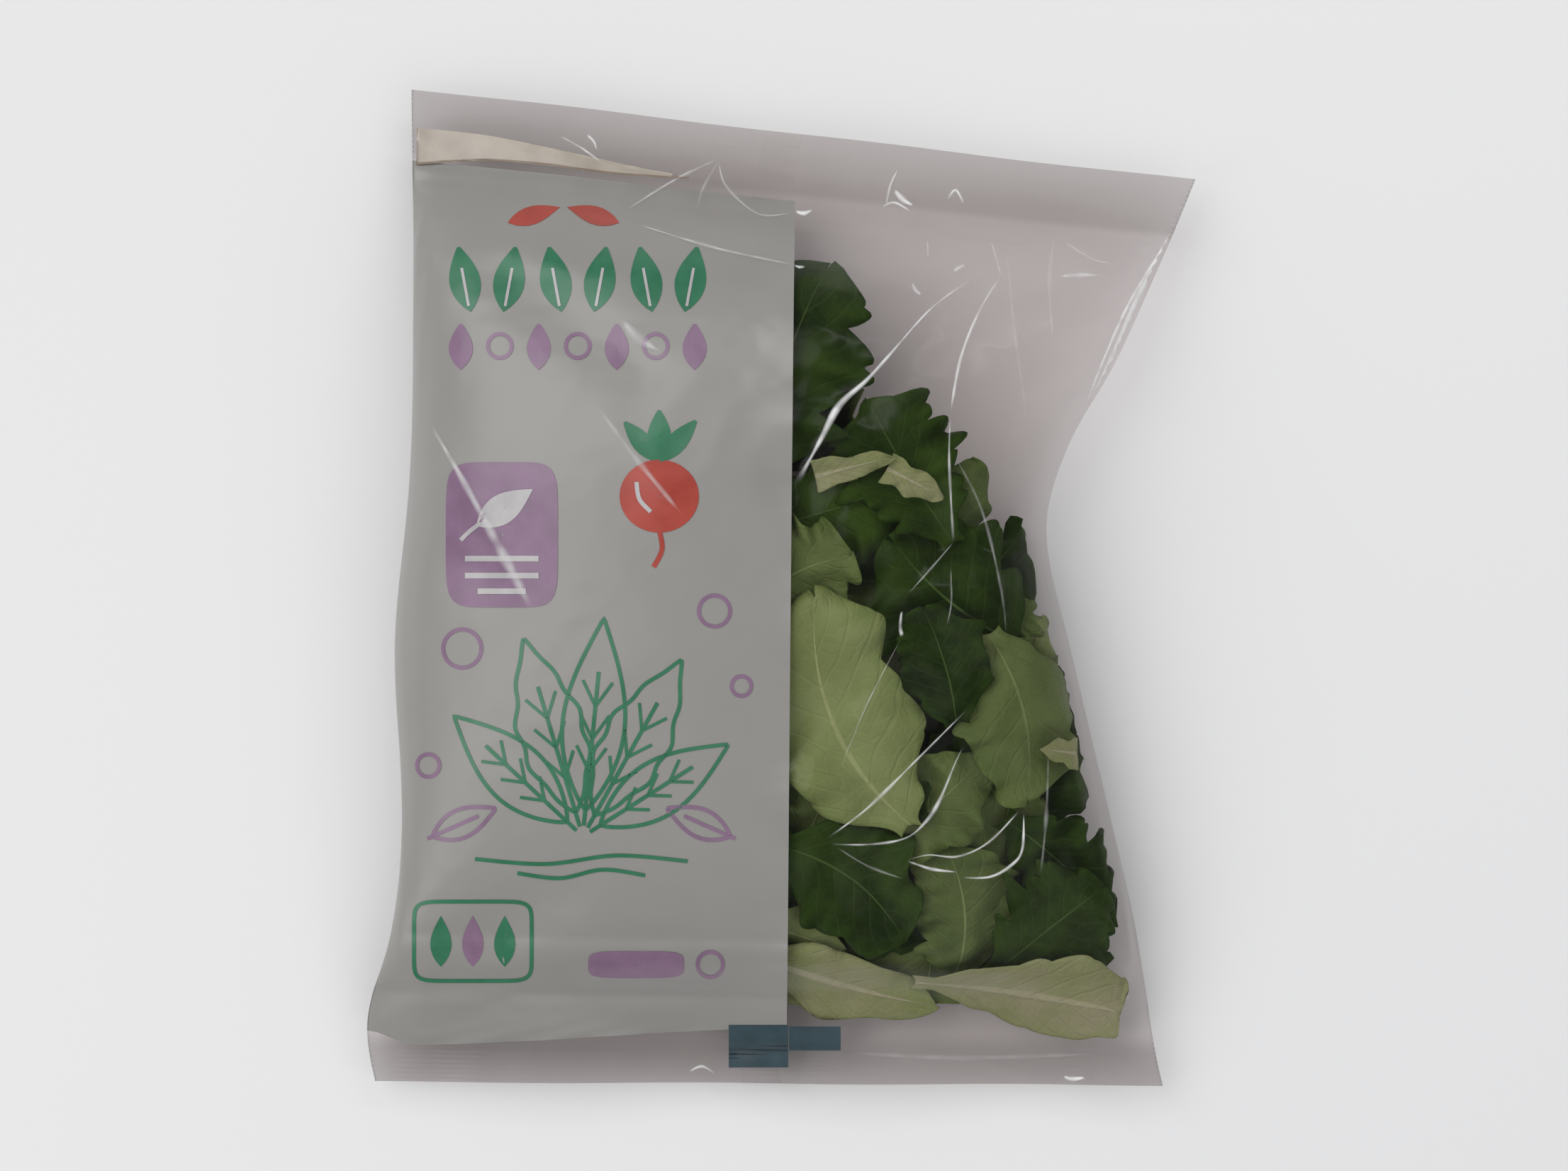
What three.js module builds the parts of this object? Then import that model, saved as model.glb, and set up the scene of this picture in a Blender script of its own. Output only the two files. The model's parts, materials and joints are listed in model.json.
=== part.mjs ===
// A sealed film bag of salad leaves, lying on its back with the printed side up.
// The bag is one tube of film, welded flat at its top and bottom, so bag and leaves are one closed solid.
// Millimetres. X runs across the bag, Y up to its top seal, Z up from the surface that it lies on.
import * as THREE from "three";

// The film tube
const FLAT_WIDTH = 220; // width of the tube when it is pressed flat
const FILM_SLACK = 0.025; // share of the film's girth that its wrinkles take up
const FULLEST = 74; // greatest thickness of the filled bag
const WELD_GAUGE = 0.9; // thickness of the two welded plies
const TOP_WELD = 19; // height of the top seal
const BOTTOM_WELD = 16; // height of the bottom seal
const SHOULDER = 26; // film next to a weld, over which the bag rises to its thickness

// How the bag lies
const SEAM_HEIGHT = 19; // height of the bag's widest line above the surface
const FRONT_SHARE = 0.61; // part of the thickness that is above that line
const FRONT_ROUNDNESS = 2.25; // exponent of the section's outline, where 2 is an ellipse
const BACK_ROUNDNESS = 3;
const TOP_DROOP = 7; // how far the free edge of each seal hangs
const BOTTOM_DROOP = 10;
const WELD_WAVE = 1.6; // height of the soft wave along each seal
const WAVES_ACROSS = 2.5;

// The bag's two side edges as seen from above, from the bottom corner to the top corner
const LEFT_EDGE = [
  [-111, -140],
  [-113, -122],
  [-109.5, -98],
  [-107.5, -62],
  [-106.5, -18],
  [-104.5, 30],
  [-104, 85],
  [-104, 138],
];
const RIGHT_EDGE = [
  [110, -141],
  [106, -124],
  [100.5, -98],
  [92, -63],
  [81.5, -20],
  [74, 15],
  [80, 40],
  [93, 63],
  [105.5, 91],
  [115, 114],
];

// Where the leaves show: the clear side of the front, under the line that the heap has slumped to
const PRINT_EDGE_X = 1;
const HEAP_LINE = [
  [0, 92],
  [22, 84],
  [38, 46],
  [62, 34],
  [86, -34],
  [104, -120],
];
const LEAF_LUMPS = 46;
const LUMP_RADIUS = [11, 21];
const LUMP_HEIGHT = [2, 5];
const LUMP_SEED = 20;

// Broad folds in the film: a groove runs from one point to the other and fades at its ends
const FOLDS = [
  { from: [-90, 96], to: [-40, 60], width: 9, depth: 2.6 }, // left shoulder
  { from: [60, 88], to: [4, 30], width: 8, depth: 3.2 }, // long fold over the clear side
  { from: [96, 72], to: [52, 22], width: 11, depth: 4.2 }, // right shoulder
  { from: [88, 14], to: [44, 12], width: 10, depth: 6.5 }, // waist on the right
  { from: [64, -18], to: [26, -58], width: 7, depth: 2.4 }, // slack over the leaves
  { from: [-108, 18], to: [-84, 8], width: 12, depth: 4 }, // waist on the left
  { from: [-92, -104], to: [-62, -84], width: 9, depth: 2.6 }, // left foot
  { from: [88, -112], to: [62, -84], width: 9, depth: 2.6 }, // right foot
];

// Mesh density
const ROWS = 54; // steps between the two welds
const WELD_ROWS = 3; // steps in each weld
const COLUMNS = 38; // steps across each side

const FILM_COLOUR = 0x8c9a78;

const clamp01 = (value) => Math.min(1, Math.max(0, value));
const lerp = (a, b, share) => a + (b - a) * share;
const smooth = (value) => clamp01(value) ** 2 * (3 - 2 * clamp01(value));

const sideCurve = (points) =>
  new THREE.SplineCurve(points.map(([x, y]) => new THREE.Vector2(x, y)));
const leftEdge = sideCurve(LEFT_EDGE);
const rightEdge = sideCurve(RIGHT_EDGE);
const filmLength = (leftEdge.getLength() + rightEdge.getLength()) / 2;

// A repeatable random number from 0 to 1
function randomFrom(seed) {
  let state = seed;
  return () => {
    state = (state * 1664525 + 1013904223) % 4294967296;
    return state / 4294967296;
  };
}

// Girth of an ellipse by Ramanujan's formula
const girth = (a, b) =>
  Math.PI * (3 * (a + b) - Math.sqrt((3 * a + b) * (a + 3 * b)));

// The tube can't stretch, so the narrower it lies, the thicker it is
function thicknessAt(width) {
  const film = 2 * FLAT_WIDTH * (1 - FILM_SLACK);
  let [low, high] = [0, FLAT_WIDTH];
  for (let step = 0; step < 40; step++) {
    const middle = (low + high) / 2;
    if (girth(width / 2, middle / 2) < film) low = middle;
    else high = middle;
  }
  const free = Math.max(low, 1e-3);
  return free / (1 + (free / FULLEST) ** 4) ** 0.25;
}

// 0 inside a weld, 1 where the film is free of it. along is a length of film from the bottom edge.
function freeOfWelds(along) {
  const fromBottom = (along - BOTTOM_WELD) / SHOULDER;
  const fromTop = (filmLength - TOP_WELD - along) / SHOULDER;
  return Math.sqrt(smooth(fromBottom) * smooth(fromTop));
}

// Half of a section's outline, as a share of its half width and height, from the left edge to the right edge
class HalfSection extends THREE.Curve {
  constructor(halfWidth, height, roundness) {
    super();
    Object.assign(this, { halfWidth, height, roundness });
  }
  getPoint(t, target = new THREE.Vector3()) {
    const angle = Math.PI * (1 - t);
    const power = 2 / this.roundness;
    const x = Math.sign(Math.cos(angle)) * Math.abs(Math.cos(angle)) ** power;
    const z = Math.abs(Math.sin(angle)) ** power;
    return target.set(x * this.halfWidth, 0, z * this.height);
  }
}

const distanceToSegment = (point, from, to) =>
  new THREE.Line3(
    new THREE.Vector3(from[0], from[1], 0),
    new THREE.Vector3(to[0], to[1], 0),
  )
    .closestPointToPoint(point, true, new THREE.Vector3())
    .distanceTo(point);

// Depth of the folds at a point of the front
function foldDepth(x, y) {
  const point = new THREE.Vector3(x, y, 0);
  return FOLDS.reduce((sum, { from, to, width, depth }) => {
    const away = distanceToSegment(point, from, to) / width;
    return sum + depth * Math.exp(-away * away);
  }, 0);
}

// Height of the slumped heap's edge at x, and below it the lumps that leaves push into the film
const heapTop = (x) => {
  const next = HEAP_LINE.findIndex(([lineX]) => lineX > x);
  if (next < 1) return next === 0 ? HEAP_LINE[0][1] : HEAP_LINE.at(-1)[1];
  const [[x0, y0], [x1, y1]] = [HEAP_LINE[next - 1], HEAP_LINE[next]];
  return lerp(y0, y1, (x - x0) / (x1 - x0));
};

function leafLumps() {
  const random = randomFrom(LUMP_SEED);
  const lumps = [];
  while (lumps.length < LEAF_LUMPS) {
    const x = lerp(PRINT_EDGE_X, 100, random());
    const y = lerp(-118, 90, random());
    const radius = lerp(...LUMP_RADIUS, random());
    const height = lerp(...LUMP_HEIGHT, random());
    if (y < heapTop(x) - radius / 2) lumps.push({ x, y, radius, height });
  }
  return lumps;
}
const lumps = leafLumps();
const lumpHeight = (x, y) =>
  lumps.reduce((most, lump) => {
    const away = Math.hypot(x - lump.x, y - lump.y) / lump.radius;
    return Math.max(most, lump.height * Math.exp(-away * away * 1.5));
  }, 0);

// One ring of film: front points from left to right, then back points from right to left
function ring(along) {
  const share = along / filmLength;
  const left = leftEdge.getPointAt(share);
  const right = rightEdge.getPointAt(share);
  const middle = left.clone().add(right).multiplyScalar(0.5);
  const across = right.clone().sub(left);
  const halfWidth = across.length() / 2;
  const free = freeOfWelds(along);
  const thickness = Math.max(WELD_GAUGE, thicknessAt(2 * halfWidth) * free);
  across.normalize();

  const droopBottom = BOTTOM_DROOP * (1 - smooth(along / (3 * BOTTOM_WELD)));
  const droopTop =
    TOP_DROOP * (1 - smooth((filmLength - along) / (3 * TOP_WELD)));
  const place = (local, isFront) => {
    const x = middle.x + across.x * local.x;
    const y = middle.y + across.y * local.x;
    const acrossShare = local.x / halfWidth;
    const wave =
      WELD_WAVE * (1 - free) * Math.sin(acrossShare * WAVES_ACROSS * Math.PI);
    const seam = SEAM_HEIGHT - droopBottom - droopTop + wave;
    const rim = Math.sqrt(Math.max(0, 1 - acrossShare ** 2));
    const relief = isFront
      ? (lumpHeight(x, y) - foldDepth(x, y)) * free * rim
      : 0;
    const z = isFront ? seam + local.z + relief : seam - local.z;
    return new THREE.Vector3(x, y, Math.max(0, z));
  };

  const frontHeight = thickness * FRONT_SHARE;
  const backHeight = thickness - frontHeight;
  const front = new HalfSection(halfWidth, frontHeight, FRONT_ROUNDNESS)
    .getSpacedPoints(COLUMNS)
    .map((point) => place(point, true));
  const back = new HalfSection(halfWidth, backHeight, BACK_ROUNDNESS)
    .getSpacedPoints(COLUMNS)
    .slice(1, -1)
    .reverse()
    .map((point) => place(point, false));
  return [...front, ...back];
}

// Lengths of film, from the bottom edge, at which the rings lie: closer together near the welds
function ringPlaces() {
  const places = [];
  for (let row = 0; row < WELD_ROWS; row++)
    places.push((BOTTOM_WELD * row) / WELD_ROWS);
  for (let row = 0; row <= ROWS; row++) {
    const even = row / ROWS;
    const crowded = (1 - Math.cos(Math.PI * even)) / 2;
    const share = lerp(even, crowded, 0.45);
    places.push(lerp(BOTTOM_WELD, filmLength - TOP_WELD, share));
  }
  for (let row = 1; row <= WELD_ROWS; row++)
    places.push(filmLength - TOP_WELD + (TOP_WELD * row) / WELD_ROWS);
  return places;
}

// Skins the rings and closes both ends, each with a strip between its front and back points
function bagGeometry() {
  const rings = ringPlaces().map(ring);
  const count = rings[0].length;
  const positions = rings.flat().flatMap((point) => point.toArray());
  const faces = [];
  for (let row = 0; row + 1 < rings.length; row++)
    for (let column = 0; column < count; column++) {
      const [a, b] = [column, (column + 1) % count].map(
        (place) => row * count + place,
      );
      const [c, d] = [a + count, b + count];
      faces.push(a, b, d, a, d, c);
    }
  const closeEnd = (first, facesUp) => {
    const front = (column) => first + column;
    const back = (column) => first + ((count - column) % count);
    for (let column = 0; column < COLUMNS; column++) {
      const corners = [
        front(column),
        back(column),
        back(column + 1),
        front(column + 1),
      ];
      const [a, b, c, d] = facesUp ? corners.reverse() : corners;
      if (a !== b && b !== c && c !== a) faces.push(a, b, c);
      if (a !== c && c !== d && d !== a) faces.push(a, c, d);
    }
  };
  closeEnd(0, false);
  closeEnd((rings.length - 1) * count, true);
  const geometry = new THREE.BufferGeometry();
  geometry.setAttribute(
    "position",
    new THREE.Float32BufferAttribute(positions, 3),
  );
  geometry.setIndex(faces);
  return geometry;
}

// The origin is on the surface that the bag lies on, under the middle of its outline
function centredOnFloor(geometry) {
  geometry.computeBoundingBox();
  const centre = geometry.boundingBox.getCenter(new THREE.Vector3());
  geometry.translate(-centre.x, -centre.y, -geometry.boundingBox.min.z);
  geometry.computeVertexNormals();
  return geometry;
}

const saladBag = new THREE.Mesh(
  centredOnFloor(bagGeometry()),
  new THREE.MeshStandardMaterial({
    color: FILM_COLOUR,
    roughness: 0.3,
    metalness: 0,
  }),
);
saladBag.name = "salad_bag";

const bagOfLeaves = new THREE.Group();
bagOfLeaves.add(saladBag);

export default bagOfLeaves;
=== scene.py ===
"""A sealed film bag of salad leaves that lies on its back, seen from straight above.

The film is one tube, welded flat at both ends, with a fin seam along the middle of its back.
Its left part is printed and its right part is clear, so that the leaves inside show.
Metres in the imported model's frame: X across the bag, Y up to its top seal, Z up from the floor.
"""

import json
import logging
import math
from dataclasses import dataclass, field, replace
from enum import Enum
from typing import Callable, Sequence

import bpy
import numpy as np
from mathutils import Euler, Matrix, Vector
from mathutils.bvhtree import BVHTree

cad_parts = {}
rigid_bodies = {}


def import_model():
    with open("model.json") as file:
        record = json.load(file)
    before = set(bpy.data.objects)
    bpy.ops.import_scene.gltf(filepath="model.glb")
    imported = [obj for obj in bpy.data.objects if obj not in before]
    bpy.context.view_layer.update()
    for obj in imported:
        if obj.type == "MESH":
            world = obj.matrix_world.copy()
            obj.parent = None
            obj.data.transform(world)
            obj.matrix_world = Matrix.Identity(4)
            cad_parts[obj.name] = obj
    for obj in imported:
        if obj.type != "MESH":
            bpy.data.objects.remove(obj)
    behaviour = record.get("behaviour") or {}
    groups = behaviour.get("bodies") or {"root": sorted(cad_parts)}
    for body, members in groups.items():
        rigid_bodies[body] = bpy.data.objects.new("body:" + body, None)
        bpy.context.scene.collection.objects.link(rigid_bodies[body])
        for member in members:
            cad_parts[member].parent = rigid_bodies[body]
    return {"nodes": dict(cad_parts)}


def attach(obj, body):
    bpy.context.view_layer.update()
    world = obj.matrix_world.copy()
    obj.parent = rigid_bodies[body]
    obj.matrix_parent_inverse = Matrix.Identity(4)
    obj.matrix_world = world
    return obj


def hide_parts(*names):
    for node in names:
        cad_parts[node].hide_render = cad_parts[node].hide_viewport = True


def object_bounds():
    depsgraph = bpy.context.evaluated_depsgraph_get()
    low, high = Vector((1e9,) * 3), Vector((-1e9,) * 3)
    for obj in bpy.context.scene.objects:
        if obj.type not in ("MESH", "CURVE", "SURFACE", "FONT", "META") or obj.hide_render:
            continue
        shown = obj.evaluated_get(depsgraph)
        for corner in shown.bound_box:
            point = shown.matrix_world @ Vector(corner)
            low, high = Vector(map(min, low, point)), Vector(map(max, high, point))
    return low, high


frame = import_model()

CAD_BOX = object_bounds()
MM = 0.001
NODE = "salad_bag"
BODY = "root"
Point = tuple[float, float]
Outline = Callable[[np.ndarray], np.ndarray]
Colour = tuple[float, float, float, float]
Socket = bpy.types.NodeSocket
Feed = Colour | Socket
WHITE: Colour = (1.0, 1.0, 1.0, 1.0)
PRINT_COAT = 0.28
RAY_START = 0.3
log = logging.getLogger("salad_bag")


def deselect_all() -> None:
    """Leaves nothing selected, so that an operator acts on what is added next."""
    for thing in bpy.context.view_layer.objects.selected:
        thing.select_set(False)


def smooth(value: np.ndarray | float) -> np.ndarray:
    """Eases a value from 0 to 1, and holds it outside that range."""
    held = np.clip(value, 0.0, 1.0)
    return held * held * (3.0 - 2.0 * held)


def spline(points: Sequence[Point], samples: int = 40) -> np.ndarray:
    """Draws a Catmull-Rom curve through points.

    Args:
        points: The points that the curve passes through, each with any number of coordinates.
        samples: How many steps lie between two of them.

    Returns:
        The curve's points, one a row.
    """
    knots = np.array([points[0], *points, points[-1]], float)
    steps = np.linspace(0, 1, samples, endpoint=False)[:, None]
    runs = []
    for a, b, c, d in zip(knots, knots[1:], knots[2:], knots[3:]):
        start, end = (c - a) / 2, (d - b) / 2
        cubic = (2 * b - 2 * c + start + end) * steps**3
        runs.append(cubic + (3 * c - 3 * b - 2 * start - end) * steps**2 + start * steps + b)
    return np.vstack([*runs, knots[-1:]])


def lengths_along(line: np.ndarray) -> np.ndarray:
    """Gives the length of a line up to each of its points."""
    steps = np.linalg.norm(np.diff(line, axis=0), axis=1)
    return np.concatenate([[0.0], np.cumsum(steps)])


def at_lengths(line: np.ndarray, measured: np.ndarray, wanted: np.ndarray) -> np.ndarray:
    """Gives the points of a line at wanted lengths, from the lengths measured at its own points."""
    return np.stack([np.interp(wanted, measured, column) for column in line.T], 1)


def evenly(line: np.ndarray, step: float) -> np.ndarray:
    """Redraws a line with points that are about a step apart.

    Args:
        line: The line's points.
        step: How far apart the new points are.

    Returns:
        The new points, from the same start to the same end.
    """
    measured = lengths_along(line)
    count = max(2, int(round(measured[-1] / step)) + 1)
    return at_lengths(line, measured, np.linspace(0, measured[-1], count))


def sideways(line: np.ndarray, closed: bool = False) -> np.ndarray:
    """Gives the direction across a line, one unit long, at each of its points.

    Args:
        line: The line's points.
        closed: True if its last point is its first.

    Returns:
        One direction for each point.
    """
    way = np.gradient(line, axis=0)
    if closed:
        way[0] = way[-1] = line[1] - line[-2]
    side = np.stack([-way[:, 1], way[:, 0]], 1)
    return side / np.linalg.norm(side, axis=1, keepdims=True)


def resampled(grid: np.ndarray, places: np.ndarray, axis: int, closed: bool = False) -> np.ndarray:
    """Reads a grid of values between its rows or columns with a smooth cubic.

    Args:
        grid: The values, with rows and columns first.
        places: Where to read, counted in rows or columns of the grid.
        axis: 0 to read between rows, 1 between columns.
        closed: True if the last column is followed by the first.

    Returns:
        The grid with as many rows or columns as there are places.
    """
    count = grid.shape[axis]
    low = np.floor(places).astype(int)
    share = places - low
    shape = [1] * grid.ndim
    shape[axis] = len(places)
    share = share.reshape(shape)

    def pick(offset: int) -> np.ndarray:
        """Takes the rows or columns that are this far from the lower neighbour.

        Args:
            offset: How far, in rows or columns.

        Returns:
            The values there.
        """
        at = low + offset
        at = at % count if closed else np.clip(at, 0, count - 1)
        return np.take(grid, at, axis=axis)

    a, b, c, d = pick(-1), pick(0), pick(1), pick(2)
    return b + 0.5 * share * (
        c - a + share * (2 * a - 5 * b + 4 * c - d + share * (3 * (b - c) + d - a))
    )


def soft_noise(x: np.ndarray, y: np.ndarray, size: float, seed: int) -> np.ndarray:
    """Gives a smooth random value from about -1 to 1 at each point.

    Args:
        x: The points' first coordinate.
        y: The points' second coordinate.
        size: The distance over which the value changes.
        seed: Chooses the pattern.

    Returns:
        One value for each point.
    """
    draw = np.random.default_rng(seed)
    total = np.zeros_like(x)
    waves = 14
    for _ in range(waves):
        angle = draw.uniform(0, 2 * math.pi)
        pitch = 2 * math.pi / (size * draw.uniform(1.2, 3.2))
        phase = draw.uniform(0, 2 * math.pi)
        total += np.sin(pitch * (x * math.cos(angle) + y * math.sin(angle)) + phase)
    return total / math.sqrt(waves / 2) / 1.6


def distance_to_line(x: np.ndarray, y: np.ndarray, line: np.ndarray) -> tuple[np.ndarray, np.ndarray]:
    """Measures how far points lie from a line, and where along it.

    Args:
        x: The points' first coordinate.
        y: The points' second coordinate.
        line: The line's points.

    Returns:
        The distance of each point, and its place along the line from 0 to 1.
    """
    near = np.full(x.shape, np.inf)
    place = np.zeros(x.shape)
    measured = lengths_along(line)
    for (start, end), (before, after) in zip(zip(line, line[1:]), zip(measured, measured[1:])):
        way = end - start
        size = max(float(way @ way), 1e-18)
        share = np.clip(((x - start[0]) * way[0] + (y - start[1]) * way[1]) / size, 0, 1)
        away = np.hypot(x - start[0] - share * way[0], y - start[1] - share * way[1])
        closer = away < near
        near = np.where(closer, away, near)
        place = np.where(closer, (before + share * (after - before)) / measured[-1], place)
    return near, place


@dataclass(frozen=True)
class PhotoFrame:
    """The photograph's frame, and the camera that looks straight down as the photograph did."""

    width_px: float = 2212.0
    height_px: float = 1652.0
    pixel: float = 0.197 * MM
    plane: float = 30 * MM
    distance: float = 1.1
    sensor: float = 36.0
    bag_px: Point = (1105.0, 830.0)
    bag_place: Point = (-0.99 * MM, 1.5 * MM)

    @property
    def eye(self) -> np.ndarray:
        """The camera's place."""
        x = self.bag_place[0] + (self.width_px / 2 - self.bag_px[0]) * self.pixel
        y = self.bag_place[1] - (self.height_px / 2 - self.bag_px[1]) * self.pixel
        return np.array([x, y, self.plane + self.distance])

    @property
    def lens(self) -> float:
        """The focal length that frames the photograph's width on the plane of focus."""
        return self.sensor * self.distance / (self.width_px * self.pixel)

    def seen_at(self, pixels: np.ndarray, height: np.ndarray | float) -> np.ndarray:
        """Gives the points at a height that lie behind pixels of the photograph.

        Args:
            pixels: The pixels.
            height: The height, the same for all or one for each.

        Returns:
            The X and Y of each point.
        """
        eye = self.eye
        reach = (eye[2] - height) / self.distance * self.pixel
        x = eye[0] + (pixels[..., 0] - self.width_px / 2) * reach
        y = eye[1] - (pixels[..., 1] - self.height_px / 2) * reach
        return np.stack([x, y], -1)

    def pixels_of(self, points: np.ndarray) -> np.ndarray:
        """Gives the pixels behind which points lie.

        Args:
            points: The points.

        Returns:
            The pixel of each.
        """
        eye = self.eye
        reach = (eye[2] - points[..., 2]) / self.distance * self.pixel
        px = (points[..., 0] - eye[0]) / reach + self.width_px / 2
        py = (eye[1] - points[..., 1]) / reach + self.height_px / 2
        return np.stack([px, py], -1)

    def add_camera(self) -> None:
        """Adds the camera and makes it the scene's own."""
        bpy.ops.object.camera_add(location=self.eye.tolist(), rotation=(0, 0, 0))
        camera = bpy.context.object
        camera.data.sensor_width = self.sensor
        camera.data.lens = self.lens
        camera.data.clip_start = 0.01
        bpy.context.scene.camera = camera


PHOTO = PhotoFrame()


class Nodes:
    """A material's or a group's node tree, with short ways to add to it."""

    def __init__(self, tree: bpy.types.NodeTree) -> None:
        """Starts from an empty tree."""
        self.tree = tree
        tree.nodes.clear()

    def add(self, kind: str, inputs: dict | None = None, **settings) -> bpy.types.Node:
        """Adds a node.

        Args:
            kind: The node's type, without its ShaderNode prefix.
            inputs: What feeds each input: a number, a colour, or another node's socket.
            settings: The node's own settings.

        Returns:
            The new node.
        """
        prefix = "" if kind.startswith("NodeGroup") else "ShaderNode"
        node = self.tree.nodes.new(prefix + kind)
        for name, value in settings.items():
            setattr(node, name, value)
        for name, value in (inputs or {}).items():
            if isinstance(value, Socket):
                self.tree.links.new(value, node.inputs[name])
            else:
                node.inputs[name].default_value = value
        return node

    def math(self, operation: str, *values, clamp: bool = False) -> Socket:
        """Adds a Math node and gives its result."""
        inputs = dict(enumerate(values))
        return self.add("Math", inputs, operation=operation, use_clamp=clamp).outputs[0]

    def ramp(self, value: Socket, low: float, high: float) -> Socket:
        """Maps a value to 0 at low and 1 at high, with eased ends."""
        inputs = {"Value": value, "From Min": low, "From Max": high}
        return self.add("MapRange", inputs, interpolation_type="SMOOTHSTEP").outputs[0]

    def mix(self, share: Socket, first: Feed, second: Feed) -> Socket:
        """Mixes two colours.

        Args:
            share: How much of the second there is, from 0 to 1.
            first: A colour, or the socket that gives it.
            second: Another.

        Returns:
            The mixed colour.
        """
        node = self.add("Mix", {0: share}, data_type="RGBA")
        for place, value in ((6, first), (7, second)):
            if isinstance(value, Socket):
                self.tree.links.new(value, node.inputs[place])
            else:
                node.inputs[place].default_value = value
        return node.outputs[2]

    def noise(self, where: Socket, scale: float, detail: float = 2.0) -> Socket:
        """Adds a Noise texture and gives its value."""
        return self.add("TexNoise", {"Vector": where, "Scale": scale, "Detail": detail}).outputs[0]

    def group(self, tree: bpy.types.NodeTree, inputs: dict) -> bpy.types.Node:
        """Adds a node group."""
        return self.add("Group", inputs, node_tree=tree)

    def surface(self, shader: Socket) -> None:
        """Makes a shader the material's surface."""
        self.add("OutputMaterial", {"Surface": shader})


def new_material(name: str) -> tuple[bpy.types.Material, Nodes]:
    """Makes a material with an empty node tree.

    Args:
        name: Its name.

    Returns:
        The material and its nodes.
    """
    made = bpy.data.materials.new(name)
    made.use_nodes = True
    return made, Nodes(made.node_tree)


def scaled(colour: Colour, factor: float, more: float = 0.0) -> Colour:
    """Makes a colour lighter or darker."""
    return tuple(min(1.0, channel * factor + more) for channel in colour[:3]) + (1.0,)


def new_group(name: str, inputs: Sequence[str], outputs: Sequence[str]) -> tuple:
    """Makes an empty node group.

    Args:
        name: Its name.
        inputs: The names of its number inputs.
        outputs: The names of its number outputs.

    Returns:
        The group, its nodes, its input node and its output node.
    """
    tree = bpy.data.node_groups.new(name, "ShaderNodeTree")
    for side, names in (("INPUT", inputs), ("OUTPUT", outputs)):
        for socket in names:
            tree.interface.new_socket(name=socket, in_out=side, socket_type="NodeSocketFloat")
    nodes = Nodes(tree)
    return tree, nodes, nodes.add("NodeGroupInput"), nodes.add("NodeGroupOutput")


def crinkle_group() -> bpy.types.NodeTree:
    """Makes the fine crinkles that all the film has, as a height.

    Returns:
        A group whose Height is about 0 to 1: faint facets, with fine scratches along the film.
    """
    tree, nodes, given, out = new_group("film_crinkle", ["Cells", "Streaks"], ["Height", "Haze"])
    place = nodes.add("TexCoord").outputs["Object"]
    facets = nodes.add(
        "TexVoronoi",
        {"Vector": place, "Scale": given.outputs["Cells"], "Randomness": 1.0},
        feature="DISTANCE_TO_EDGE",
    ).outputs["Distance"]
    ridge = nodes.ramp(facets, 0.0, 0.08)
    long = nodes.add("Mapping", {"Vector": place, "Scale": (1.0, 0.08, 1.0)}).outputs[0]
    streak = nodes.noise(long, 420.0, 3.0)
    height = nodes.math("MULTIPLY_ADD", ridge, 0.35, nodes.math("MULTIPLY", streak, given.outputs["Streaks"]))
    nodes.tree.links.new(height, out.inputs["Height"])
    nodes.tree.links.new(nodes.noise(place, 22.0, 3.0), out.inputs["Haze"])
    return tree


def vein_group() -> bpy.types.NodeTree:
    """Makes a leaf's rib and veins from its own UV map.

    Returns:
        A group with masks from 0 to 1 for the Rib, the Vein net and the Margin, and a Height.
    """
    names = ["Rib", "Vein", "Margin", "Height"]
    tree, nodes, given, out = new_group("leaf_veins", ["RibWidth", "VeinPitch"], names)
    uv = nodes.add("UVMap", uv_map="UVMap").outputs[0]
    split = nodes.add("SeparateXYZ", {0: uv})
    across = nodes.math("ABSOLUTE", nodes.math("MULTIPLY_ADD", split.outputs[0], 2.0, -1.0))
    along = split.outputs[1]
    place = nodes.add("TexCoord").outputs["Object"]
    wander = nodes.math("MULTIPLY_ADD", nodes.noise(place, 90.0), 0.06, -0.03)
    thin = nodes.math("SUBTRACT", 1.15, along)
    width = nodes.math("MULTIPLY", given.outputs["RibWidth"], thin)
    rib = nodes.math("SUBTRACT", 1.0, nodes.ramp(nodes.math("DIVIDE", across, width), 0.35, 1.0))
    slant = nodes.math("SUBTRACT", along, nodes.math("MULTIPLY", across, 0.32))
    beat = nodes.math("MULTIPLY", nodes.math("ADD", slant, wander), given.outputs["VeinPitch"])
    near = nodes.math("ABSOLUTE", nodes.math("SUBTRACT", nodes.math("FRACT", beat), 0.5))
    side = nodes.math("SUBTRACT", 1.0, nodes.ramp(near, 0.03, 0.12))
    net = nodes.add(
        "TexVoronoi", {"Vector": place, "Scale": 260.0}, feature="DISTANCE_TO_EDGE"
    ).outputs["Distance"]
    fine = nodes.math("SUBTRACT", 1.0, nodes.ramp(net, 0.0, 0.16))
    vein = nodes.math("MAXIMUM", side, nodes.math("MULTIPLY", fine, 0.45))
    pucker = nodes.noise(place, 150.0, 3.0)
    raised = nodes.math("MULTIPLY_ADD", rib, 0.6, pucker)
    height = nodes.math("SUBTRACT", raised, nodes.math("MULTIPLY", vein, 0.5))
    for name, socket in zip(names, (rib, vein, nodes.ramp(across, 0.55, 1.0), height)):
        nodes.tree.links.new(socket, out.inputs[name])
    return tree


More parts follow.
